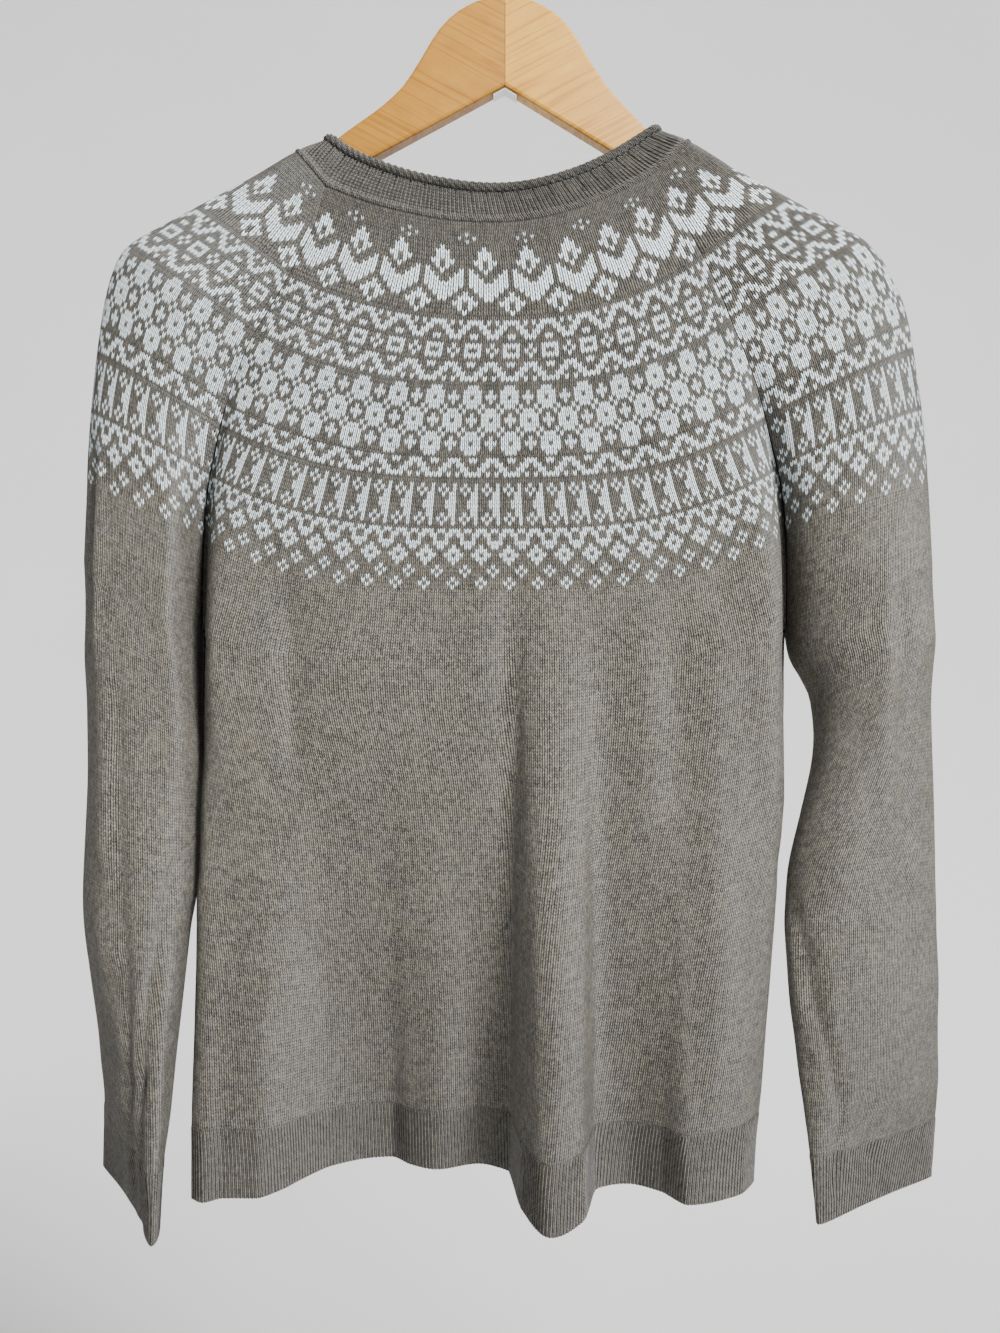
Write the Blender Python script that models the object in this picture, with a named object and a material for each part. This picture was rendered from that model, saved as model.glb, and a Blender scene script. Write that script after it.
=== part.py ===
"""Fair isle yoke jumper hanging on a two-arm wooden hanger.

The origin is the point where the hook bears on its rail: +Z up, +X to the wearer's
right, and the jumper's back faces -Y.  All tables are in millimetres.

The cloth is four panels that share their courses (rows of knitting).  A course is
named by its run, the knitted length below the neck seam at the centre of the back:
back panel and front panel between the two raglan sleeves down to the underarm, then
a tube for the body and one for each sleeve.
"""
import math
from collections import namedtuple

import bmesh
import bpy
import numpy as np
from mathutils import Matrix, Vector

MM = 0.001

# ---- driving dimensions -----------------------------------------------------------
CLOTH = 2.0            # wall thickness of the knitting
SEAM_GAP = 0.3         # between pieces that are sewn together
NECK_Z = -198.5        # neck seam at the centre of the back
FRONT_NECK_DROP = 39.5  # how much lower the neck seam is at the centre of the front
UNDERARM = 258.0       # run of the course that passes the underarm point
HEM = 553.0            # run of the last course of the body
CUFF = 592.0           # run of the last course of a sleeve
BAND_RUN = -19.0       # top of the neckband's wall, above the neck seam
ROLL_RADIUS = 2.6      # rolled edge on top of the neckband
ROLL_RISE = 1.5        # its centre above the band's top and behind its outer face
ROLL_INSET = 0.2
ROLL_ANGLES = (-65, -10, 45, 100, 155, 205)
ARM_FOLD = 10.4        # half the width of the fold that lies over a hanger arm

BACK_COLUMNS = 46      # cells across each piece
FRONT_COLUMNS = 24
SLEEVE_COLUMNS = 10    # on each side of the sleeve's outer line
ROW_SAMPLES = 160      # points a course is worked out at before it is spaced evenly

ARM_THICK = 12.0       # hanger arm, front to back
ARM_CHAMFER = 1.8
CREST_Z = -57.9        # top of the hanger's wood
NOTCH_Z = -110.1       # underside of the hanger at its joint
ARM_TIP = 20.0         # height of an arm at its end
TIP_RADIUS = 9.0
JOINT_GAP = 0.3
HOOK_WIRE = 3.6        # wire diameter
HOOK_BEND = 22.0       # radius of the hook's round, to the wire's centre
STEM_DEPTH = 24.0      # how deep the hook's stem goes into the wood
PLATE = (7.0, 8.0, 1.0)  # joint plate: wing length, width, thickness

# ---- tables -----------------------------------------------------------------------
# Courses of the yoke.  Each raglan seam has its place on the back (near, -Y) and on
# the front (far, +Y); ridge is the line over the hanger arm and down the sleeve's
# outside.  grip is 1 where the cloth is folded over the arm, 0 where it hangs free;
# the bulges are how far the sleeve stands out on either side of ridge and seam.
YokeCourse = namedtuple("YokeCourse", (
    "run", "left_x", "left_z", "right_x", "right_z", "near_y", "far_y",
    "ridge_left_x", "ridge_left_z", "ridge_right_x", "ridge_right_z",
    "grip", "bulge_near", "bulge_far"))
YOKE = [YokeCourse(*row) for row in (
    (-19, -93.5, -152.5, 82.0, -143.5, -11.0, 11.0, -107.4, -141.6, 92.4, -136.0, 1.0, 0, 0),
    (0, -105.5, -173.0, 88.0, -165.0, -14.0, 14.0, -125.0, -149.3, 111.0, -143.7, 1.0, 1, 1),
    (24, -111.0, -195.5, 96.8, -183.5, -18.0, 17.0, -152.0, -165.2, 138.0, -160.2, 1.0, 2, 1),
    (48, -121.5, -219.0, 110.0, -207.0, -21.0, 19.0, -174.0, -176.9, 158.0, -170.9, 1.0, 3, 2),
    (76, -134.3, -243.0, 124.0, -236.0, -22.0, 20.0, -204.0, -193.2, 192.0, -189.2, 1.0, 5, 3),
    (90, -141.5, -254.8, 129.0, -248.0, -22.0, 20.5, -218.5, -201.2, 207.5, -197.7, 1.0, 7, 4),
    (102, -148.4, -266.5, 133.5, -259.5, -22.0, 21.0, -229.0, -210.0, 219.0, -206.0, 0.9, 9, 6),
    (116, -154.5, -280.0, 140.0, -274.0, -21.5, 21.0, -236.3, -226.5, 231.5, -224.5, 0.7, 12, 8),
    (133, -161.5, -297.0, 147.0, -291.0, -21.0, 21.0, -241.0, -247.0, 240.0, -245.0, 0.4, 16, 11),
    (164, -171.3, -327.0, 157.5, -323.5, -18.0, 20.0, -245.5, -285.0, 246.5, -283.0, 0.1, 25, 16),
    (193, -178.0, -356.0, 165.0, -352.0, -14.0, 18.0, -248.0, -322.0, 250.5, -321.0, 0.0, 33, 20),
    (215, -180.0, -379.0, 167.5, -376.0, -11.5, 15.5, -249.0, -348.0, 252.0, -348.0, 0.0, 37, 22),
    (236, -181.0, -404.0, 168.5, -401.5, -10.5, 14.0, -249.5, -369.0, 252.7, -369.0, 0.0, 40.5, 25),
    (250, -181.6, -423.0, 168.8, -421.0, -9.5, 12.5, -249.7, -383.0, 253.0, -383.0, 0.0, 43, 26.5),
    (256, -181.8, -432.0, 168.9, -430.0, -6.0, 8.5, -249.7, -390.0, 253.2, -390.0, 0.0, 45, 28.5),
    (258, -182.0, -435.0, 169.0, -433.0, 1.0, 1.0, -249.8, -393.0, 253.3, -393.0, 0.0, 48, 32))]

# The body's side lines below the underarm.
SideCourse = namedtuple("SideCourse", "run z left_x left_y right_x right_y")
SIDES = [SideCourse(*row) for row in (
    (258, -434, -182.0, 1.0, 169.0, 1.0),
    (262, -438, -179.0, 1.0, 166.0, 1.0),
    (276, -452, -178.3, 0.0, 165.4, 0.5),
    (300, -478, -178.0, -6.0, 165.0, -3.0),
    (335, -516, -176.5, -14.0, 164.0, -8.0),
    (370, -553, -175.6, -22.0, 160.8, -13.0),
    (405, -591, -175.6, -30.0, 157.3, -18.0),
    (440, -629, -175.2, -38.0, 154.0, -22.0),
    (475, -667, -175.0, -44.0, 150.5, -25.0),
    (505, -699, -175.2, -48.0, 147.5, -28.0),
    (532, -728, -174.5, -52.0, 143.5, -31.0),
    (553, -751, -174.0, -54.0, 142.0, -32.0))]

# How a course of the panels runs: the arch of its height (power), the depth of its
# face and the width over which it turns in to its edges.
PanelCourse = namedtuple("PanelCourse", "run arch back_y back_turn front_y front_turn")
PANELS = [PanelCourse(*row) for row in (
    (-19, 2.05, -24.0, 60, 21.0, 40),
    (0, 2.1, -25.0, 60, 22.0, 40),
    (48, 2.3, -30.5, 60, 23.0, 36),
    (102, 2.8, -34.5, 56, 24.0, 32),
    (164, 3.0, -38.0, 48, 25.0, 28),
    (215, 3.3, -41.0, 34, 25.0, 24),
    (258, 3.1, -42.0, 24, 25.0, 22),
    (335, 3.0, -43.5, 20, 25.0, 22),
    (440, 3.0, -45.0, 16, 25.0, 24),
    (553, 3.0, -46.0, 12, 25.0, 26))]

# The back panel's folds, given at the hem: where the hem stands, the run at which
# the fold begins and how much lower the hem hangs there.
HemFold = namedtuple("HemFold", "x y begin drop")
HEM_FOLDS = [HemFold(*row) for row in (
    (-176, -54, 340, 0), (-167, -60, 340, 0), (-156, -54, 320, 0), (-139, -54, 320, 0),
    (-126, -43, 300, 0), (-116, -28, 290, 0), (-102, -11, 280, 0), (-77, 1, 280, 0),
    (-68, 2, 280, 0), (-56, -9, 280, 0), (-40, -16, 280, 0), (-16, -8, 260, 0),
    (1, -20, 215, 0), (9, -60, 205, 5), (24, -80, 205, 9), (42, -70, 210, 5),
    (52, -41, 250, 0), (69, -35, 290, 0), (87, -45, 290, 0), (100, -62, 290, 0),
    (129, -51, 300, 0), (146, -32, 320, 0))]

# Sections of the sleeves below the underarm: the middle of the section, its half
# thickness (out from the body) and half widths towards back and front, the angle by
# which it is turned, how far its two edges curl outwards, how much its outer side is
# raised and its near edge lowered.
Section = namedtuple("Section", "run x y z thick near far turn curl rise dip")
SLEEVE_LEFT = [Section(*row) for row in (
    (258, -215.9, 1, -414.0, 33.9, 48, 32, 0, 0, 21.0, 0),
    (262, -217.4, 1, -417.5, 32.4, 48, 32, 1, 0, 21.0, 0),
    (276, -216.9, 0, -433.0, 32.4, 48, 34, 3, 0, 20.0, 0),
    (300, -215.9, -2, -459.0, 33.2, 48, 38, 6, 0, 17.0, 0),
    (335, -214.4, -4, -496.0, 32.5, 48, 42, 10, 0, 13.0, 0),
    (370, -213.6, -7, -533.0, 32.5, 48, 46, 15, 0, 9.0, 1),
    (405, -213.8, -12, -570.0, 32.5, 49, 48, 20, 0, 6.0, 2),
    (440, -215.9, -16, -606.0, 29.5, 50, 49, 24, 0, 4.0, 3),
    (475, -214.9, -20, -641.0, 24.5, 50, 50, 27, 0, 3.0, 4),
    (505, -213.6, -24, -672.0, 19.5, 50, 50, 29, 1, 2.0, 5),
    (531, -212.4, -28, -698.0, 15.5, 49, 49, 31, 2, 1.0, 6),
    (560, -210.8, -30, -728.0, 9.5, 47, 47, 33, 5, 0.0, 6),
    (592, -209.0, -31, -762.0, 6.0, 46, 46, 34, 8, 0.0, 6))]
SLEEVE_RIGHT = [Section(*row) for row in (
    (258, 211.15, 1, -413.0, 42.15, 48, 32, 0, 0, 20.0, 0),
    (262, 212.7, 1, -416.5, 40.7, 48, 32, 1, 0, 20.0, 0),
    (276, 213.6, 0, -432.0, 40.4, 46, 34, 5, 0, 19.0, 0),
    (300, 215.8, -3, -459.0, 39.0, 45, 38, 12, 0, 17.0, 0),
    (335, 218.2, -6, -496.0, 33.0, 48, 45, 28, 0, 13.0, 0),
    (370, 215.2, -9, -533.0, 33.5, 49, 49, 43, 0, 9.0, 0),
    (405, 211.2, -13, -570.0, 32.5, 50, 49, 58, 0, 6.0, 0),
    (440, 208.8, -17, -606.0, 27.0, 51, 51, 66, 0, 4.0, 0),
    (475, 209.6, -21, -641.0, 24.0, 51, 51, 66, 0, 3.0, 1),
    (505, 210.3, -25, -672.0, 19.0, 50, 50, 65, 0, 2.0, 1),
    (531, 211.0, -28, -698.0, 15.0, 50, 50, 63, 1, 1.0, 2),
    (560, 211.8, -29, -728.0, 9.5, 52, 46, 60, 4, 0.0, 2),
    (592, 213.0, -27, -760.0, 6.0, 54, 43, 57, 6, 0.0, 2))]

YOKE_RUNS = (0, 24, 48, 76, 90, 102, 116, 133, 164, 193, 215, 236, 250, 256, UNDERARM)
BODY_RUNS = (262, 276, 300, 335, 370, 405, 440, 475, 505, 532, HEM)
SLEEVE_RUNS = (262, 276, 300, 335, 370, 405, 440, 475, 505, 531, 560, CUFF)
BAND_RUNS = (BAND_RUN, -10.0, 0.0)

# Hanger arms: the side each goes to, where its round crest meets its straight slope,
# that slope, the bend of its underside and its length across.
Arm = namedtuple("Arm", "name side crest_x crest_z slope bend_x bend_z reach")
ARMS = (Arm("hanger_arm_left", -1, 100.2, -141.3, 0.533, 79.8, -153.3, 223.0),
        Arm("hanger_arm_right", 1, 84.0, -135.3, 0.531, 75.0, -156.0, 217.0))
CREST = ((0.0, CREST_Z), (12.0, CREST_Z - 0.2), (24.0, -62.7), (36.3, -72.3),
         (44.0, -83.0), (53.0, -98.2), (61.0, -110.0))
CREST_STEPS = 18

KNIT = ("knit", (0.26, 0.25, 0.22), 0.95, 0.0)
RIB = ("rib", (0.15, 0.14, 0.12), 0.95, 0.0)
WOOD = ("wood", (0.66, 0.43, 0.20), 0.45, 0.0)
STEEL = ("steel", (0.62, 0.62, 0.60), 0.25, 1.0)


# ---- curves -----------------------------------------------------------------------
def column(table, name):
    """One named column of a table."""
    return np.array([getattr(row, name) for row in table], float)


def smooth(knots, values, at):
    """Cubic through the knots that never overshoots between them."""
    knots, values = np.asarray(knots, float), np.asarray(values, float)
    step = np.diff(knots)
    slope = np.diff(values) / step
    tangent = np.concatenate(([slope[0]], np.zeros(len(slope) - 1), [slope[-1]]))
    for i in range(1, len(slope)):
        before, after = slope[i - 1], slope[i]
        if before * after > 0:
            near, wide = 2 * step[i] + step[i - 1], step[i] + 2 * step[i - 1]
            tangent[i] = (near + wide) / (near / before + wide / after)
    cell = np.clip(np.searchsorted(knots, at, side="right") - 1, 0, len(slope) - 1)
    t = (np.asarray(at, float) - knots[cell]) / step[cell]
    return ((1 + 2 * t) * (1 - t) ** 2 * values[cell]
            + t * (1 - t) ** 2 * step[cell] * tangent[cell]
            + t * t * (3 - 2 * t) * values[cell + 1]
            + t * t * (t - 1) * step[cell] * tangent[cell + 1])


def look_up(table, name, run):
    return float(smooth(column(table, "run"), column(table, name), run))


def rounded(distance, power):
    """0 at an edge and 1 past its rounded corner, for distance in corner radii."""
    inside = 1 - np.clip(distance, 0, 1)
    return (1 - inside ** power) ** (1 / power)


def spaced(points, fractions):
    """Points at the given fractions of the length of a line of points."""
    length = np.concatenate(([0], np.cumsum(np.linalg.norm(np.diff(points, axis=0), axis=1))))
    at = np.asarray(fractions) * length[-1]
    return np.column_stack([np.interp(at, length, points[:, axis]) for axis in range(3)])


def gathered(count, share):
    """Fractions from 0 to 1 that lie closer together at both ends."""
    even = np.linspace(0, 1, count + 1)
    return even - share * np.sin(2 * np.pi * even) / (2 * np.pi)


# ---- the cloth's surface ----------------------------------------------------------
def closing(run):
    """0 where a seam lies open in a valley, 1 where the piece has become a tube."""
    return float(np.interp(run, (UNDERARM, 262.0, 276.0), (0.0, 0.6, 1.0)))


def panel_edge(side, run, depth):
    """Edge of a panel: the raglan seam, or below the underarm the body's side."""
    if run <= UNDERARM:
        return [look_up(YOKE, name, run) for name in (side + "_x", depth + "_y", side + "_z")]
    return [look_up(SIDES, side + "_x", run), look_up(SIDES, side + "_y", run),
            look_up(SIDES, "z", run)]


def panel_course(run, depth):
    """One course of the back (near) or front (far) panel, from left to right."""
    left, right = panel_edge("left", run, depth), panel_edge("right", run, depth)
    across = (1 - np.cos(np.linspace(0, np.pi, ROW_SAMPLES))) / 2
    x = left[0] + (right[0] - left[0]) * across
    on_left = across < 0.5
    edge_y = np.where(on_left, left[1], right[1])
    edge_z = np.where(on_left, left[2], right[2])
    middle_z = NECK_Z - run
    if depth == "near":
        face = np.full_like(x, look_up(PANELS, "back_y", run))
        turn = look_up(PANELS, "back_turn", run)
        begin = smooth(column(HEM_FOLDS, "x"), column(HEM_FOLDS, "begin"), x)
        share = np.clip((run - begin) / (HEM - begin), 0, 1) ** 1.25
        face += (smooth(column(HEM_FOLDS, "x"), column(HEM_FOLDS, "y"), x) - face) * share
        lower = smooth(column(HEM_FOLDS, "x"), column(HEM_FOLDS, "drop"), x) * share
    else:
        face = look_up(PANELS, "front_y", run)
        turn = look_up(PANELS, "front_turn", run)
        middle_z -= FRONT_NECK_DROP * np.clip(1 - run / HEM, 0, 1.02) ** 1.6
        lower = 0.0
    inset = np.minimum(x - left[0], right[0] - x) / turn
    shut = closing(run)
    corner = (1 - shut) * (1 - (1 - np.clip(inset, 0, 1)) ** 1.6) + shut * rounded(inset, 2.2)
    y = edge_y + (face - edge_y) * corner
    arch = np.abs(2 * across - 1) ** look_up(PANELS, "arch", run)
    z = middle_z + (edge_z - middle_z) * arch - lower
    return np.column_stack((x, y, z))


def sleeve_half(outer, inner, bulge, grip, shut, away, curl, dip):
    """Half a course of a sleeve, from its outer line to its seam or inner line."""
    share = (1 - np.cos(np.linspace(0, np.pi, ROW_SAMPLES))) / 2
    length = np.linalg.norm(inner - outer)
    oval = 2 * np.sqrt(share * (1 - share))
    valley = np.where(share < 0.5, oval, 1 - np.abs(2 * share - 1) ** 1.6)
    free = bulge * ((1 - shut) * valley + shut * oval)
    folded = (ARM_FOLD * (rounded(share * length / ARM_FOLD, 3) - share)
              + bulge * np.sin(np.pi * share))
    out = grip * folded + (1 - grip) * free
    reach = out / max(bulge, 1.0)
    points = outer + (inner - outer) * share[:, None] + away * out[:, None]
    points += curl * reach[:, None] ** 2
    points[:, 2] += dip * reach
    return points


def sleeve_course(side, run):
    """One course of a sleeve: near seam, over the outer line, to the far seam."""
    sign = -1.0 if side == "left" else 1.0
    if run <= UNDERARM:
        outer = np.array([look_up(YOKE, "ridge_" + side + "_x", run),
                          np.interp(run, (164, UNDERARM), (0, 1)),
                          look_up(YOKE, "ridge_" + side + "_z", run)])
        inner = [np.array(panel_edge(side, run, depth)) for depth in ("near", "far")]
        bulge = [look_up(YOKE, "bulge_near", run), look_up(YOKE, "bulge_far", run)]
        grip, dip = look_up(YOKE, "grip", run), 0.0
        away, curled = np.array([0.0, -1.0, 0.0]), np.zeros(3)
    else:
        table = SLEEVE_LEFT if side == "left" else SLEEVE_RIGHT
        x, y, z, thick, near, far, turn, curl, rise, dip = (
            look_up(table, name, run) for name in Section._fields[1:])
        angle = math.radians(turn)
        outward = np.array([sign * math.cos(angle), -math.sin(angle), 0.0])
        away = np.array([-sign * math.sin(angle), -math.cos(angle), 0.0])
        lift = np.array([0.0, 0.0, rise])
        outer = np.array([x, y, z]) + thick * outward + lift
        inner = [np.array([x, y, z]) - thick * outward - lift] * 2
        bulge, grip, curled = [near, far], 0.0, curl * outward
    shut = closing(run)
    near_half = sleeve_half(outer, inner[0], bulge[0], grip, shut, away, curled, -dip)
    far_half = sleeve_half(outer, inner[1], bulge[1], grip, shut, -away, curled, dip)
    even = gathered(SLEEVE_COLUMNS, 0.6)
    near_half = spaced(near_half, even)[::-1]
    return np.vstack((near_half, spaced(far_half, even)[1:]))


def back_grid(runs):
    even = gathered(BACK_COLUMNS, 0.25)
    return np.array([spaced(panel_course(run, "near"), even) for run in runs])


def front_grid(runs):
    even = gathered(FRONT_COLUMNS, 0.35)
    return np.array([spaced(panel_course(run, "far"), even) for run in runs])


def sleeve_grid(side, runs):
    return np.array([sleeve_course(side, run) for run in runs])


def ring_grid(runs):
    """Courses of the neckband: back, right sleeve, front and left sleeve in one."""
    back, front = back_grid(runs), front_grid(runs)
    left, right = sleeve_grid("left", runs), sleeve_grid("right", runs)
    return np.concatenate((back[:, :-1:2], right[:, :-1], front[:, :0:-2],
                           left[:, :0:-1]), axis=1)


# ---- walls ------------------------------------------------------------------------
def cells(rows, columns, index):
    """Quads between neighbouring rows and columns of points."""
    quads = []
    for r in range(rows - 1):
        for c in range(columns - 1):
            quads.append((index(r, c), index(r, c + 1), index(r + 1, c + 1), index(r + 1, c)))
    return quads


def key(point):
    return tuple(np.round(point, 2) + 0.0)


class Piece:
    """A sheet of cloth: its points, its quads and which points are on which edge."""

    def __init__(self, name, grid, closed_from=None, flip=False):
        rows, columns = grid.shape[:2]
        self.name, self.grid = name, grid
        self.closed_from = rows if closed_from is None else closed_from
        self.points = grid.reshape(-1, 3).copy()
        self.columns = columns

        def index(r, c):
            joined = r >= self.closed_from and c == columns - 1
            return r * columns + (0 if joined else c)
        self.index = index
        quads = cells(rows, columns, index)
        self.quads = [quad[::-1] for quad in quads] if flip else quads

    def add_normals(self, total):
        for quad in self.quads:
            a, b, c, d = (self.points[i] for i in quad)
            normal = np.cross(c - a, d - b)
            normal /= np.linalg.norm(normal)
            for i in quad:
                spot = key(self.points[i])
                total[spot] = total.get(spot, 0) + normal

    def take_normals(self, total):
        self.normals = np.array([total.get(key(p), np.array([0.0, 0.0, 1.0]))
                                 for p in self.points])
        self.normals /= np.linalg.norm(self.normals, axis=1)[:, None]

    def draw_in(self, rows, columns):
        """Move seam edges into the piece by half the seam gap, square to the seam."""
        grid = self.points.reshape(self.grid.shape)
        moves = np.zeros_like(grid)
        last = grid.shape[0] - 1
        for row, inner in rows:
            moves[row] += unit_across(grid[row], grid[inner]) * SEAM_GAP / 2
        for edge, inner, stop in columns:
            stop = last if stop is None else stop
            part = slice(0, stop + 1)
            moves[part, edge] += unit_across(grid[part, edge], grid[part, inner]) * SEAM_GAP / 2
        self.points = (grid + moves).reshape(-1, 3)


def unit_across(edge, inner):
    """Unit steps from an edge into the cloth, square to the edge's own line."""
    along = np.gradient(edge, axis=0)
    along /= np.linalg.norm(along, axis=1)[:, None]
    step = inner - edge
    step -= along * np.sum(step * along, axis=1)[:, None]
    return step / np.linalg.norm(step, axis=1)[:, None]


def thick_mesh(name, points, quads, inner_points):
    """Closed mesh between a sheet and the same sheet's inner face."""
    used = sorted({i for quad in quads for i in quad})
    mesh = bmesh.new()
    outer = {i: mesh.verts.new(Vector(points[i]) * MM) for i in used}
    inner = {i: mesh.verts.new(Vector(inner_points[i]) * MM) for i in used}
    sides = {}
    for quad in quads:
        mesh.faces.new([outer[i] for i in quad])
        mesh.faces.new([inner[i] for i in reversed(quad)])
        for a, b in zip(quad, quad[1:] + quad[:1]):
            sides[(a, b)] = True
    for a, b in sides:
        if (b, a) not in sides:
            mesh.faces.new((outer[b], outer[a], inner[a], inner[b]))
    return finish(name, mesh)


def finish(name, mesh, smooth_faces=True):
    """Turn a bmesh into a named object with flat triangles and outward faces."""
    bmesh.ops.triangulate(mesh, faces=mesh.faces[:], quad_method="SHORT_EDGE")
    bmesh.ops.recalc_face_normals(mesh, faces=mesh.faces[:])
    if mesh.calc_volume(signed=True) < 0:
        bmesh.ops.reverse_faces(mesh, faces=mesh.faces[:])
    data = bpy.data.meshes.new(name)
    mesh.to_mesh(data)
    mesh.free()
    if smooth_faces:
        data.shade_smooth()
        data.set_sharp_from_angle(angle=math.radians(40))
    thing = bpy.data.objects.new(name, data)
    bpy.context.collection.objects.link(thing)
    return thing


def paint(thing, look):
    """Give an object its own Principled material."""
    kind, colour, roughness, metallic = look
    material = bpy.data.materials.new(kind + "_" + thing.name)
    material.use_nodes = True
    shader = material.node_tree.nodes["Principled BSDF"]
    shader.inputs["Base Color"].default_value = (*colour, 1.0)
    shader.inputs["Roughness"].default_value = roughness
    shader.inputs["Metallic"].default_value = metallic
    thing.data.materials.append(material)


def build_cloth():
    """Back, front and sleeves, with 2 mm walls and parallel gaps at their seams."""
    yoke = len(YOKE_RUNS) - 1
    back = Piece("back_panel", back_grid(YOKE_RUNS + BODY_RUNS), flip=True)
    front = Piece("front_panel", front_grid(YOKE_RUNS + BODY_RUNS))
    left = Piece("sleeve_left", sleeve_grid("left", YOKE_RUNS + SLEEVE_RUNS), yoke)
    right = Piece("sleeve_right", sleeve_grid("right", YOKE_RUNS + SLEEVE_RUNS), yoke, True)
    pieces = [back, front, left, right]
    total = {}
    for piece in pieces:
        piece.add_normals(total)
    for piece in pieces:
        piece.take_normals(total)
    for panel in (back, front):
        panel.draw_in([(0, 1)], [(0, 1, None), (-1, -2, None)])
    for sleeve in (left, right):
        sleeve.draw_in([(0, 1)], [(0, 1, yoke - 1), (-1, -2, yoke - 1)])
        sign = -1 if sleeve is left else 1
        sleeve.points[sleeve.index(yoke, 0)] += np.array([sign, 0, -1]) * SEAM_GAP
    for piece in pieces:
        thing = thick_mesh(piece.name, piece.points, piece.quads,
                           piece.points - piece.normals * CLOTH)
        paint(thing, KNIT)
    return total


def build_neckband(total):
    """Ribbed band on the neck seam with a small roll along its top edge."""
    ring = ring_grid(BAND_RUNS)
    rows, count = ring.shape[:2]
    around = np.roll(ring, -1, axis=1) - np.roll(ring, 1, axis=1)
    up = ring[0] - ring[1]
    up /= np.linalg.norm(up, axis=1)[:, None]
    normals = np.zeros_like(ring)
    for r in range(rows):
        rise = ring[max(r - 1, 0)] - ring[min(r + 1, rows - 1)]
        normals[r] = np.cross(around[r], rise)
        normals[r] /= np.linalg.norm(normals[r], axis=1)[:, None]
    for i, point in enumerate(ring[-1]):
        shared = total.get(key(point))
        if shared is not None:
            normals[-1][i] = shared / np.linalg.norm(shared)
    foot = ring[-1] + (ring[-2] - ring[-1]) * (SEAM_GAP / 2 / (BAND_RUNS[2] - BAND_RUNS[1]))
    loops = [foot, ring[1], ring[0]]
    centre = ring[0] + up * ROLL_RISE - normals[0] * ROLL_INSET
    for degrees in ROLL_ANGLES:
        angle = math.radians(degrees)
        loops.append(centre + (normals[0] * math.cos(angle) + up * math.sin(angle)) * ROLL_RADIUS)
    loops += [ring[0] - normals[0] * CLOTH, ring[1] - normals[1] * CLOTH,
              foot - normals[2] * CLOTH]
    mesh = bmesh.new()
    verts = [[mesh.verts.new(Vector(p) * MM) for p in loop] for loop in loops]
    for a, b in zip(verts, verts[1:] + verts[:1]):
        for i in range(count):
            j = (i + 1) % count
            mesh.faces.new((a[i], a[j], b[j], b[i]))
    paint(finish("neckband", mesh), RIB)


# ---- hanger -----------------------------------------------------------------------
def arc_points(centre, radius, start, end, steps):
    """Points on an arc in the plane of the arm, angles in degrees."""
    angles = np.radians(np.linspace(start, end, steps + 1))
    return [(centre[0] + radius * math.cos(a), centre[1] + radius * math.sin(a)) for a in angles]


def arm_outline(arm):
    """Outline of an arm reaching to +X: crest, slope, rounded tip, underside."""
    knots = CREST + ((arm.crest_x, arm.crest_z),)
    xs = np.linspace(JOINT_GAP / 2, arm.crest_x, CREST_STEPS + 1)
    crest = list(zip(xs, smooth([k[0] for k in knots], [k[1] for k in knots], xs)))
    tip_z = arm.crest_z - arm.slope * (arm.reach - arm.crest_x)
    lean = math.degrees(math.atan(arm.slope))
    top = (arm.reach - TIP_RADIUS, tip_z - TIP_RADIUS + arm.slope * TIP_RADIUS / 2)
    low = (arm.reach - TIP_RADIUS, tip_z - ARM_TIP + TIP_RADIUS)
    tip = arc_points(top, TIP_RADIUS, 90 - lean, 0, 4) + arc_points(low, TIP_RADIUS, 0, -100, 4)
    under = [(arm.bend_x, arm.bend_z), (JOINT_GAP / 2, NOTCH_Z)]
    return crest + tip + under


def build_arm(arm):
    """One wooden arm: its outline extruded, chamfered and bored for the stem."""
    mesh = bmesh.new()
    outline = [mesh.verts.new((arm.side * x * MM, -ARM_THICK / 2 * MM, z * MM))
               for x, z in arm_outline(arm)]
    face = mesh.faces.new(outline)
    extruded = bmesh.ops.extrude_face_region(mesh, geom=[face])
    moved = [item for item in extruded["geom"] if isinstance(item, bmesh.types.BMVert)]
    bmesh.ops.translate(mesh, verts=moved, vec=(0, ARM_THICK * MM, 0))
    bmesh.ops.recalc_face_normals(mesh, faces=mesh.faces[:])
    joint = JOINT_GAP / 2 * MM
    rim = [edge for edge in mesh.edges
           if abs(edge.verts[0].co.y - edge.verts[1].co.y) < 1e-6
           and not all(abs(abs(v.co.x) - joint) < 1e-6 for v in edge.verts)]
    bmesh.ops.bevel(mesh, geom=rim, offset=ARM_CHAMFER * MM, segments=2, profile=0.5,
                    affect="EDGES", clamp_overlap=True)
    thing = finish(arm.name, mesh, smooth_faces=False)
    paint(thing, WOOD)
    bore = thing.modifiers.new("stem_bore", "BOOLEAN")
    bore.operation, bore.solver = "DIFFERENCE", "EXACT"
    bore.object = bpy.data.objects["stem_cutter"]
    return thing


def build_stem_cutter():
    """Cutter for the hole that the hook's stem stands in."""
    mesh = bmesh.new()
    bmesh.ops.create_cone(mesh, cap_ends=True, segments=16,
                          radius1=(HOOK_WIRE / 2 + 0.35) * MM,
                          radius2=(HOOK_WIRE / 2 + 0.35) * MM,
                          depth=(2 * STEM_DEPTH + 2) * MM,
                          matrix=Matrix.Translation((0, 0, CREST_Z * MM)))
    cutter = finish("stem_cutter", mesh, smooth_faces=False)
    cutter.hide_render = True
    cutter.display_type = "WIRE"


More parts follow.
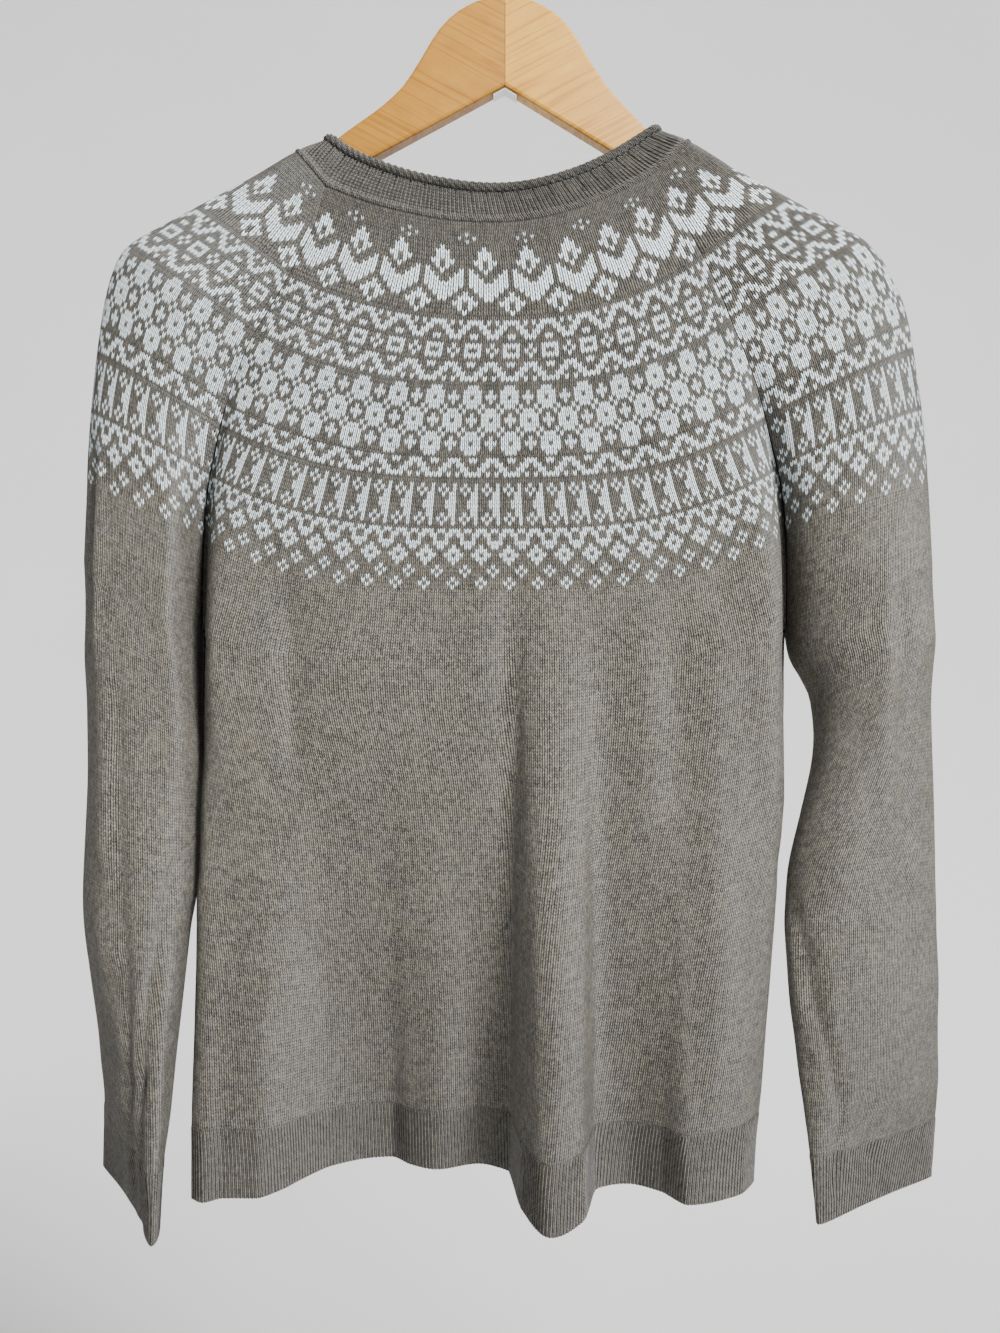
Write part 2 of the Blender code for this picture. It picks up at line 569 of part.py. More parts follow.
def build_hook():
    """Steel hook: a stem in the wood and a round that bears on the rail at its top."""
    middle = Vector((0, 0, HOOK_WIRE / 2 - HOOK_BEND))
    route = [Vector((0, 0, CREST_Z - STEM_DEPTH)), Vector((0, 0, CREST_Z)),
             Vector((0, 0, middle.z - HOOK_BEND - 5)), Vector((2.2, 0, middle.z - HOOK_BEND - 0.5))]
    for degrees in range(-68, 206, 14):
        angle = math.radians(degrees)
        route.append(middle + HOOK_BEND * Vector((math.cos(angle), 0, math.sin(angle))))
    data = bpy.data.curves.new("hook", "CURVE")
    data.dimensions = "3D"
    data.bevel_depth = HOOK_WIRE / 2 * MM
    data.bevel_resolution = 2
    data.use_fill_caps = True
    spline = data.splines.new("POLY")
    spline.points.add(len(route) - 1)
    for point, place in zip(spline.points, route):
        point.co = (*(place * MM), 1.0)
    hook = bpy.data.objects.new("hook", data)
    bpy.context.collection.objects.link(hook)
    paint(hook, STEEL)


def build_joint_plate():
    """Small bent steel plate under the joint of the two arms."""
    wing, width, thick = PLATE
    gap = 0.3
    mesh = bmesh.new()
    left = (NOTCH_Z - ARMS[0].bend_z) / ARMS[0].bend_x
    right = (NOTCH_Z - ARMS[1].bend_z) / ARMS[1].bend_x
    upper = [(-wing, NOTCH_Z - gap * 1.2 - wing * left), (0, NOTCH_Z - gap * 1.2),
             (wing, NOTCH_Z - gap * 1.2 - wing * right)]
    lower = [(x, z - thick * 1.15) for x, z in reversed(upper)]
    ring = [mesh.verts.new((x * MM, -width / 2 * MM, z * MM)) for x, z in upper + lower]
    extruded = bmesh.ops.extrude_face_region(mesh, geom=[mesh.faces.new(ring)])
    moved = [item for item in extruded["geom"] if isinstance(item, bmesh.types.BMVert)]
    bmesh.ops.translate(mesh, verts=moved, vec=(0, width * MM, 0))
    paint(finish("joint_plate", mesh, smooth_faces=False), STEEL)


def main():
    for thing in list(bpy.data.objects):
        bpy.data.objects.remove(thing, do_unlink=True)
    build_neckband(build_cloth())
    build_stem_cutter()
    for arm in ARMS:
        build_arm(arm)
    build_hook()
    build_joint_plate()


main()
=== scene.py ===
"""Fair isle yoke jumper on a wooden hanger: the knitted pieces, the hanger's finish and
the stage, laid out as a Blender add-on and run as a script.

Lengths are millimetres, except those of the stage.  The jumper's back faces
-Y.  A course is named by its run, the knitted length below the neck seam at the centre
of the back.
"""

import math
from collections import namedtuple
from itertools import product

import bmesh
import bpy
import numpy as np
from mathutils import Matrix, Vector


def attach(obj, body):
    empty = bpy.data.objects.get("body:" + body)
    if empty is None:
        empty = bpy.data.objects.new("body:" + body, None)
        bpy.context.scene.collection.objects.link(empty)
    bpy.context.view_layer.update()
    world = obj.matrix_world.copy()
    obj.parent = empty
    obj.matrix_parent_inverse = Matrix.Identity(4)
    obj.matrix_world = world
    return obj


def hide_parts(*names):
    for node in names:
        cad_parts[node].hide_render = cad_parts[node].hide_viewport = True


bl_info = {
    "name": "Fair isle jumper",
    "version": (1, 0, 0),
    "blender": (4, 5, 0),
    "location": "View3D > Sidebar > Jumper",
    "description": "Knits a yoke jumper on its hanger, piece by piece",
    "category": "Add Mesh",
}

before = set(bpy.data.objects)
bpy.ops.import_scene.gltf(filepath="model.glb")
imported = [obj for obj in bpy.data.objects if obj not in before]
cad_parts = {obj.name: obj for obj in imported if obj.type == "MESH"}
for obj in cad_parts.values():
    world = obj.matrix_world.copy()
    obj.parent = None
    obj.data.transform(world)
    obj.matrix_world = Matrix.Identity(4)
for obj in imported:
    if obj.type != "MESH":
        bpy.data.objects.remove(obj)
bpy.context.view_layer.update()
MM = 0.001

# ---- sizes of the cloth ----
CLOTH = 1.9  # wall of the knitting
NECK_Z = -198.5  # neck seam at the centre of the back
FRONT_NECK_DROP = 39.5
UNDERARM, HEM, CUFF = 258.0, 553.0, 592.0  # runs
ARM_FOLD = 10.4  # radius of the fold over the hanger's arms
SAMPLES = 420  # points that a course is worked out at

# ---- stitches and ribs ----
WALE, COURSE = 2.49, 1.72  # width and height of a stitch below the yoke
SLANT = 0.75  # how far a stitch's two legs run down to their point, in rows
RIB_LENGTH, RIB_PITCH, RIB_DEPTH, RIB_ROWS = 35.0, 2.1, 0.34, 11  # hem and cuffs
RIB_PAINTED_SHADE = 0.88  # share of the painted shade tone in hem and cuffs, for the shade between the ribs
LOW_PAINTED_SHADE = 0.5  # painted shade just above them, growing from this run on, so the pieces are darker towards the bottom
LOW_PAINTED_SHADE_RUN = 380
FLECK_YARN = 0.7  # share of the pattern's yarn in the flecks
YOKE_GAP = 2.2  # between the yoke's last row and the first plain one
GAUGE_RUN = 330.0  # course whose length gives the stitches round a piece
WIDTH_RUN = 300.0  # course that sets how many points a plain row has
PLAIN_STEP, INNER_STEP = 3.2, 6.0  # distance of these points, outside and inside
EDGE_STEPS = (0.0, 1.1, 2.4, 4.5)  # distance of the first ones from a piece's edge
SHARP = 70  # degrees past which an edge of the knitting is sharp

# ---- neckband ----
BAND_RUNS = (0.5, -0.3, -1.2, -2.1, -3.0, -4.4, -7.0, -10.0, -13.0, -16.0, -19.0)
CHAIN = (0.05, 0.7, 1.05, 0.7, 0.05)  # how far its first rings stand out as a chain
BAND_COLUMNS = 236  # ribs round the neckband
BAND_WAVE, BAND_GROOVE = 0.6, 1.1  # depth of the fine ribs, and of the wide ones above
ROLL_RADIUS, ROLL_RISE, ROLL_INSET, ROLL_GRAIN = 2.9, 1.3, 0.9, 0.15
ROLL_ANGLES = (*range(-75, 156, 23), 190)

# ---- form of the cloth: tables with the run first ----
# Dip along the raglan seams, and a wider hollow along them: reach, and depth by run.
SEAM_REACH, HOLLOW_REACH = 1.5, 6.5
SEAM_DIP = ((0, 0.25), (14, 0.35), (30, 0.8), (90, 0.8), (120, 0.35))
HOLLOW = ((110, 0), (164, 8.5), (193, 10), (215, 9), (236, 4.5), (250, 1.5), (258, 0))
FAR_HOLLOW = -0.35  # share of the hollow on the front
YOKE_PAINTED_SHADE = ((0, 1), (120, 0.95), (170, 0.75), (212, 0.35))  # share of the painted shade tone in the yoke's ground, by run
# How far a piece has closed to a tube, from 0 to 1.
PANEL_CLOSING = ((100, 0), (150, 0.1), (215, 0.55), (258, 0.9), (300, 1))
SLEEVE_CLOSING = ((100, 0), (150, 0.15), (200, 0.75), (240, 0.97), (300, 1))
# Width of the flat strip on the back beside its edges.
LEDGE = ((110, 0), (164, 3), (200, 6), (258, 6), (300, 4), (350, 0))
# Length over which a sleeve's near side turns back beside the body.
FLANK = {"left": ((110, 34), (164, 24), (215, 13), (300, 12), (405, 30)),
         "right": ((110, 36), (164, 36), (215, 38), (258, 42), (300, 36), (405, 30))}


def table(text):
    """Columns by name of a table whose first line names them."""
    names, numbers = text.strip().split("\n", 1)
    names = names.split()
    return dict(zip(names, np.array(numbers.split(), float).reshape(-1, len(names)).T))


# Lines of the raglan seams and of the sleeves' ridges, and how far the sleeves stand out.
YOKE = table("""
run left_x left_z right_x right_z near_y far_y ridge_left_x ridge_left_z \
ridge_right_x ridge_right_z grip bulge_near bulge_far
-19  -93.5 -152.5   82   -143.5  -11   11    -107.4 -141.6   92.4 -136    1    0    0
  0 -105.5 -173     88   -165    -14   14    -125   -149.3  111   -143.7  1    1    1
 24 -111   -195.5   96.8 -183.5  -18   17    -152   -165.2  138   -160.2  1    2    1
 48 -121.5 -219    110   -207    -21   19    -174   -176.9  158   -170.9  1    3    2
 76 -134.3 -243    124   -236    -22   20    -204   -193.2  192   -189.2  1    5    3
 90 -141.5 -254.8  129   -248    -22   20.5  -218.5 -201.2  207.5 -197.7  1    7    4
102 -148.4 -266.5  133.5 -259.5  -22   21    -229   -210    219   -206    0.9  9    6
116 -154.5 -280    140   -274    -21.5 21    -236.3 -226.5  231.5 -224.5  0.7 12    8
133 -161.5 -297    147   -291    -21   21    -241   -247    240   -245    0.4 16   11
164 -171.3 -327    157.5 -323.5  -18   20    -245.5 -285    246.5 -283    0.1 25   16
193 -178   -356    165   -352    -14   18    -248   -322    250.5 -321    0   33   20
215 -180   -379    167.5 -376    -11.5 15.5  -249   -348    252   -348    0   37   22
236 -181   -406    168.5 -404     -6.5 10.5  -249.5 -369    252.7 -369    0   42   27
250 -181.6 -424.5  168.8 -423.5   -1.5  4.5  -249.7 -384    253   -384    0   46   30
256 -181.9 -432    168.9 -431.5    0.5  1.8  -249.8 -391    253.2 -391    0   47.6 31.6
258 -182   -434.5  169   -434      1    1    -249.8 -393    253.3 -393    0   48   32""")

# The body's two sides below the underarm.
SIDES = table("""
run    z left_x left_y right_x right_y
258 -434 -182     1 169    1
262 -438 -181.3   1 168.3  1
276 -452 -180.8   0 167.6  0.5
300 -478 -179.6  -6 166.6 -3
335 -516 -176.5 -14 164   -8
370 -553 -175.6 -22 160.8 -13
405 -591 -175.6 -30 157.3 -18
440 -629 -175.2 -38 154   -22
475 -667 -175   -44 150.5 -25
505 -699 -175.2 -48 147.5 -28
532 -728 -174.5 -52 143.5 -31
553 -751 -174   -54 142   -32""")

# Depth of the two faces, and how far inside the edges it is reached.
PANELS = table("""
run arch back_y back_turn front_y front_turn
-19 2.05 -24   60 21 40
  0 2.1  -25   60 22 40
 48 2.3  -30.5 60 23 36
102 2.8  -34.5 56 24 32
164 3    -38   32 25 28
215 3.3  -41   16 25 24
258 3.1  -42   14 25 22
335 3    -43.5 17 25 22
440 3    -45   16 25 24
553 3    -46   12 25 26""")

# The back's hem from left to right, and the run at which each fold begins.
HEM_FOLDS = table("""
x y begin drop
-176 -54 340 0   -167 -60 340 0   -156 -54 320 0   -139 -54 320 0   -126 -43 300 0
-116 -28 290 0   -102 -11 280 0    -77   1 280 0    -68   2 280 0    -56  -9 280 0
 -40 -16 280 0    -16  -8 260 0      1 -20 215 0      9 -60 205 5     24 -80 205 9
  42 -70 210 5     52 -41 250 0     69 -35 290 0     87 -45 290 0    100 -62 290 0
 129 -51 300 0    146 -32 320 0""")

# Sections of the sleeves below the underarm.
SLEEVES = {"left": table("""
run x y z thick near far turn curl rise dip
258 -215.9   1 -414   33.9 48 32  0 0 21 0
262 -215.9   1 -417.5 33.9 48 32  1 0 21 0
276 -215.4   0 -433   33.9 48 34  3 0 20 0
300 -215    -2 -459   34.1 48 38  6 0 17 0
335 -213.2  -4 -496   33.7 48 42 10 0 13 0
370 -213.6  -7 -533   32.5 48 46 15 0  9 1
405 -213.8 -12 -570   32.5 49 48 20 0  6 2
440 -215.9 -16 -606   29.5 50 49 24 0  4 3
475 -214.9 -20 -641   24.5 50 50 27 0  3 4
505 -213.6 -24 -672   19.5 50 50 29 1  2 5
531 -212.4 -28 -698   15.5 49 49 31 2  1 6
560 -210.8 -30 -728    9.5 47 47 33 5  0 6
592 -209   -31 -762    6   46 46 34 8  0 6"""), "right": table("""
run x y z thick near far turn curl rise dip
258 211.15   1 -413   42.15 48 32 0 0 20 0
262 211.2    1 -416.5 42.2 48 32  1 0 20 0
276 212.7    0 -432   41.3 46 34  5 0 19 0
288 216.4   -1 -445.5 38.2 45 36  8 0 18 0
300 219     -3 -459   35.8 45 38 12 0 17 0
335 218.2   -6 -496   33   48 45 28 0 13 0
370 215.2   -9 -533   33.5 49 49 43 0  9 0
405 211.2  -13 -570   32.5 50 49 58 0  6 0
440 208.8  -17 -606   27   51 51 66 0  4 0
475 209.6  -21 -641   24   51 51 66 0  3 1
505 210.3  -25 -672   19   50 50 65 0  2 1
531 211    -28 -698   15   50 50 63 1  1 2
560 211.8  -29 -728    9.5 52 46 60 4  0 2
592 213    -27 -760    6   54 43 57 6  0 2""")}

# Soft troughs (depth below 0 is a ridge) from one place to another across the faces that
# look towards -Y or +Y.
CREASES = {-1: table("""
x1 z1 x2 z2 depth width
5 -385 5 -800 3.3 8           26 -390 28 -660 -3 13         -231 -320 -229 -460 -3 4
-239 -320 -238 -470 2.6 4.5   -217 -430 -215 -560 3 4       -215 -540 -207 -650 3.4 4
-207 -630 -208 -765 3.2 3.5   -226 -450 -223 -640 -2.2 6    -184 -562 -195 -642 3.4 3
-194 -622 -198 -694 3.6 3     -198 -670 -202 -772 3.2 3     -174 -575 -187 -652 -2.2 4
-187 -636 -192 -744 -2.2 3.5  156 -556 169 -622 2.4 3       168 -610 174 -656 2.8 2.8
173 -640 187 -704 2.8 3       187 -690 181 -750 2.2 3       160 -600 167 -664 -1.8 3.5
178 -600 184 -672 -1.4 5      213 -390 214 -540 -1.8 5      223 -390 227 -600 2 5
-13 -400 -16 -560 -1.8 11     -124 -405 -119 -520 2.6 6     60 -425 58 -600 2.2 9
79 -420 80 -560 -1.4 9        -235 -340 -237 -450 -1.6 4    -243 -340 -244 -450 2 5
96 -400 104 -740 3 10         118 -410 122 -700 -2.2 11     58 -570 54 -745 1.8 9
-122 -420 -116 -520 2.4 9     -100 -440 -88 -560 -1.4 12    -30 -420 -60 -500 1 16
76 -330 100 -430 1.3 13       -150 -350 -126 -430 1.6 10    140 -345 116 -430 1.6 10
-170 -470 -150 -640 1.6 8     150 -480 140 -640 1.4 8       12 -300 30 -400 -0.9 18
-236 -330 -238 -440 1.6 7     -206 -400 -222 -470 -1.4 9    -230 -560 -214 -612 2.2 8
-196 -600 -222 -640 1.8 8     -226 -668 -200 -690 1.6 7     232 -380 228 -470 1.6 9
204 -560 236 -600 1.8 9       200 -690 206 -745 2 7         190 -480 206 -540 1.6 9
238 -610 214 -650 1.4 9"""), 1: table("""
x1 z1 x2 z2 depth width
-90 -300 -70 -700 2.6 16      -20 -380 -34 -740 2.2 15      44 -330 60 -720 2.6 17
104 -420 98 -740 2 14         -140 -430 -130 -700 2 14      0 -300 12 -420 -1.6 20
224 -420 230 -560 2.2 11      -222 -430 -230 -580 2.2 11    214 -600 222 -700 1.8 9
-214 -610 -206 -700 1.8 9""")}


# ---- the yoke's pattern, charted: # is a stitch of the pattern yarn ----
def mirrored(rows, middle=()):
    """A chart whose lower half repeats its upper one upside down."""
    return (*rows, *middle, *reversed(rows))


FLECKS = ("..#.............", "#...#...........", "..#.............")
VEES = ("....#....", "...###...", "...###...", "..##.##..", "...#.#...", ".#..#...#",
        ".##....##", ".###..###", ".########", "..######.", "#..####..", "##..##..#",
        ".##....##", ".#......#", "#........")
RINGS = mirrored((".#.####.#", "..##..##.", ".##....##", "##..##..#", ".........",
                  "#..####.."), (".#.#..#.#",))
FLOWERS = mirrored(("##.......#", "###..#..##", ".##.###.##", "###..#..##", "##.#...#.#",
                    "..#.###.#.", "#..#####.."), ("##.##.##.#",))
STICKS = mirrored(("..#..#", ".#.#.#", "..#.##", "....##", "...###"))
DIAMONDS = ("##.##.#", ".##..##", "..#..#.", "..####.", "#..##..", "##....#", ".##..##",
            "##....#", "#......", "...#...", "..#.#..", "...#...", "#......", ".#....#",
            "#......")

# first and last: runs of the first and last row's middle; stitch: its width; at_x and
# at_column: a place on the back and the place in the chart that lies there.
Band = namedtuple("Band", "chart first last stitch at_x at_column lead")
BANDS = [Band(*row) for row in (
    (FLECKS, 7.6, 11.8, 2.08, -23.2, 2.5, 3),
    (VEES, 16.0, 53.9, 2.84, -9.8, 5.0, 0),
    (RINGS, 59.7, 92.2, 2.45, -30.0, 0.5, 0),
    (FLOWERS, 97.6, 135.0, 2.20, -19.0, 0.5, 0),
    (RINGS[9:], 139.5, 147.4, 2.44, -30.0, 0.5, 0),
    (STICKS, 153.9, 175.4, 2.08, -16.3, 6.0, 1),
    (DIAMONDS, 179.9, 211.9, 2.25, -21.8, 3.5, 0))]

# ---- hanger ----
# Slope of the grain in the two arms, and a tint for each that paints light and shade: the
# left arm darker, in painted shade, and the right one lighter, in painted light from the
# right.
WOOD = {"left": (-0.533, (0.62, 0.54, 0.42)), "right": (0.531, (0.95, 0.92, 0.90))}
# Line of glue in the mitre, with a gap in its upper row round the hook's stem.
GLUE_THICK = 0.24
GLUE_Y = (-5.6, -2.4, 2.4, 5.6)
GLUE_Z = (-109.7, -82.4, -58.6)

FLOOR_Z, BEND_Y, BEND_RADIUS = -1.5, 1.2, 0.8
ROOM_COLOUR, ROOM_STRENGTH = (0.95, 0.97, 1.0, 1.0), 0.30
CAMERA_PLACE = (-0.003, -0.700, -0.456)
CAMERA_LENS, CAMERA_SENSOR = 31.5, 36.0  # millimetres
# Name, kind, place, aim, a sun's angle in degrees or a disk's diameter, and power.
LAMPS = (("key", "SUN", (1.5, -1.9, 1.4), (0, 0, -0.40), 16, 3.2),
         ("near_key", "AREA", (0.50, -1.0, 0.42), (0.02, 0, -0.22), 0.5, 27),
         ("fill", "SUN", (-1.6, -1.5, 0.3), (0, 0, -0.45), 40, 0.15))


# ---- curves ----
def smooth(knots, values, at):
    """Cubic through the knots that never overshoots between them."""
    knots, values = np.asarray(knots, float), np.asarray(values, float)
    step = np.diff(knots)
    slope = np.diff(values) / step
    tangent = np.concatenate(([slope[0]], np.zeros(len(slope) - 1), [slope[-1]]))
    for i in range(1, len(slope)):
        before, after = slope[i - 1], slope[i]
        if before * after > 0:
            near, wide = 2 * step[i] + step[i - 1], step[i] + 2 * step[i - 1]
            tangent[i] = (near + wide) / (near / before + wide / after)
    cell = np.clip(np.searchsorted(knots, at, side="right") - 1, 0, len(slope) - 1)
    t = (np.asarray(at, float) - knots[cell]) / step[cell]
    return ((1 + 2 * t) * (1 - t) ** 2 * values[cell]
            + t * (1 - t) ** 2 * step[cell] * tangent[cell]
            + t * t * (3 - 2 * t) * values[cell + 1]
            + t * t * (t - 1) * step[cell] * tangent[cell + 1])


def look_up(columns, run, *names):
    """Values of the named columns at a run."""
    return [float(smooth(columns["run"], columns[name], run)) for name in names]


def hem_fold(name, x):
    return smooth(HEM_FOLDS["x"], HEM_FOLDS[name], x)


def straight(pairs, run):
    """Value at a run in a table of pairs, along straight lines between its rows."""
    return np.interp(run, *zip(*pairs))


def rounded(distance, power):
    """0 at an edge and 1 past its rounded corner, for distance in corner radii."""
    inside = 1 - np.clip(distance, 0, 1)
    return (1 - inside ** power) ** (1 / power)


def lengths(points):
    """Length along a line of points at each of them."""
    return np.concatenate(([0], np.cumsum(np.linalg.norm(np.diff(points, axis=0), axis=1))))


def spaced(points, fractions):
    """Points at the given fractions of the length of a line of points."""
    length = lengths(points)
    at = np.asarray(fractions) * length[-1]
    return np.column_stack([np.interp(at, length, points[:, axis]) for axis in range(3)])


def unit(vectors):
    return vectors / np.maximum(np.linalg.norm(vectors, axis=-1), 1e-9)[..., None]


# ---- the cloth's form ----
def closing(run, pairs):
    """0 where a seam lies open in a valley, 1 where the piece has become a tube."""
    runs, shares = zip(*pairs)
    return float(smooth(runs, shares, np.clip(run, runs[0], runs[-1])))


def panel_edge(side, run, depth):
    """Edge of a panel: the raglan seam, or below the underarm the body's side."""
    if run <= UNDERARM:
        return look_up(YOKE, run, side + "_x", depth + "_y", side + "_z")
    return look_up(SIDES, run, side + "_x", side + "_y", "z")


def panel_line(run, depth):
    """One course of the back (near) or front (far) panel, from left to right."""
    left, right = panel_edge("left", run, depth), panel_edge("right", run, depth)
    across = (1 - np.cos(np.linspace(0, np.pi, SAMPLES))) / 2
    x = left[0] + (right[0] - left[0]) * across
    on_left = across < 0.5
    edge_y = np.where(on_left, left[1], right[1])
    edge_z = np.where(on_left, left[2], right[2])
    middle_z = NECK_Z - run
    panel = "back" if depth == "near" else "front"
    power, face, turn = look_up(PANELS, run, "arch", panel + "_y", panel + "_turn")
    if panel == "back":
        begin = hem_fold("begin", x)
        share = np.clip((run - begin) / (HEM - begin), 0, 1) ** 1.25
        face = face + (hem_fold("y", x) - face) * share
        lower = hem_fold("drop", x) * share
        ledge = straight(LEDGE, run)
    else:
        middle_z -= FRONT_NECK_DROP * np.clip(1 - run / HEM, 0, 1.02) ** 1.6
        lower = ledge = 0.0
    inset = (np.minimum(x - left[0], right[0] - x) - ledge) / turn
    shut = closing(run, PANEL_CLOSING)
    corner = (1 - shut) * (1 - (1 - np.clip(inset, 0, 1)) ** 1.6) + shut * rounded(inset, 2.4)
    y = edge_y + (face - edge_y) * corner
    z = middle_z + (edge_z - middle_z) * np.abs(2 * across - 1) ** power - lower
    return np.column_stack((x, y, z))


def sleeve_half(outer, inner, bulge, grip, shut, flank, away, curl, dip):
    """Half a course of a sleeve, from its outer line to its seam or inner line."""
    share = (1 - np.cos(np.linspace(0, np.pi, SAMPLES))) / 2
    length = np.linalg.norm(inner - outer)
    oval = 2 * np.sqrt(share * (1 - share))
    valley = np.where(share < 0.5, oval, 1 - np.abs(2 * share - 1) ** 1.6)
    turned = rounded((1 - share) * length / min(flank, length / 2), 2.1)
    free = bulge * ((1 - shut) * valley + shut * np.where(share < 0.5, oval, turned))
    folded = (ARM_FOLD * (rounded(share * length / ARM_FOLD, 3) - share)
              + bulge * np.sin(np.pi * share))
    out = grip * folded + (1 - grip) * free
    reach = out / max(bulge, 1.0)
    points = outer + (inner - outer) * share[:, None] + away * out[:, None]
    points += curl * reach[:, None] ** 2
    points[:, 2] += dip * reach
    return points


def sleeve_line(side, run):
    """One course of a sleeve: near seam, over the outer line, to the far seam."""
    sign = -1.0 if side == "left" else 1.0
    if run <= UNDERARM:
        x, z, grip, *bulge = look_up(YOKE, run, f"ridge_{side}_x", f"ridge_{side}_z", "grip",
                                     "bulge_near", "bulge_far")
        outer = np.array([x, np.interp(run, (164, UNDERARM), (0, 1)), z])
        inner = [np.array(panel_edge(side, run, depth)) for depth in ("near", "far")]
        away, curled, dip = np.array([0.0, -1.0, 0.0]), np.zeros(3), 0.0
    else:
        _, x, y, z, thick, near, far, turn, curl, rise, dip = look_up(
            SLEEVES[side], run, *SLEEVES[side])
        angle = math.radians(turn)
        outward = np.array([sign * math.cos(angle), -math.sin(angle), 0.0])
        away = np.array([-sign * math.sin(angle), -math.cos(angle), 0.0])
        centre, lift = np.array([x, y, z]), np.array([0.0, 0.0, rise])
        outer = centre + thick * outward + lift
        inner = [centre - thick * outward - lift] * 2
        bulge, grip, curled = [near, far], 0.0, curl * outward
    shut = closing(run, SLEEVE_CLOSING)
    flank = straight(FLANK[side], run)
    near_half = sleeve_half(outer, inner[0], bulge[0], grip, shut, flank, away, curled, -dip)
    far_half = sleeve_half(outer, inner[1], bulge[1], grip, shut, math.inf, -away, curled,
                           dip)
    return np.vstack((near_half[::-1], far_half[1:]))


LINES = {"back_panel": lambda run: panel_line(run, "near"),
         "front_panel": lambda run: panel_line(run, "far"),
         "sleeve_left": lambda run: sleeve_line("left", run),
         "sleeve_right": lambda run: sleeve_line("right", run)}
FACING = {"back_panel": -1, "front_panel": 1, "sleeve_left": 1, "sleeve_right": -1}
END = {"back_panel": HEM, "front_panel": HEM, "sleeve_left": CUFF, "sleeve_right": CUFF}


def crease_depth(points, normals):
    """How far the cloth is pressed in at each point by the table of creases."""
    depth = np.zeros(len(points))
    for side, creases in CREASES.items():
        faces = np.clip(normals[:, 1] * side * 1.6, 0, 1)
        for x1, z1, x2, z2, deep, width in zip(*creases.values()):
            line = np.array([x2 - x1, z2 - z1])
            place = points[:, (0, 2)] - (x1, z1)
            along = place @ line / (line @ line)
            across = place[:, 0] * line[1] - place[:, 1] * line[0]
            across = np.abs(across) / np.linalg.norm(line)
            ends = np.clip(np.minimum(along, 1 - along) * 4 + 0.2, 0, 1)
            ends = ends * ends * (3 - 2 * ends)
            depth += deep * ends * faces * np.exp(-(across / width) ** 2)
    return depth


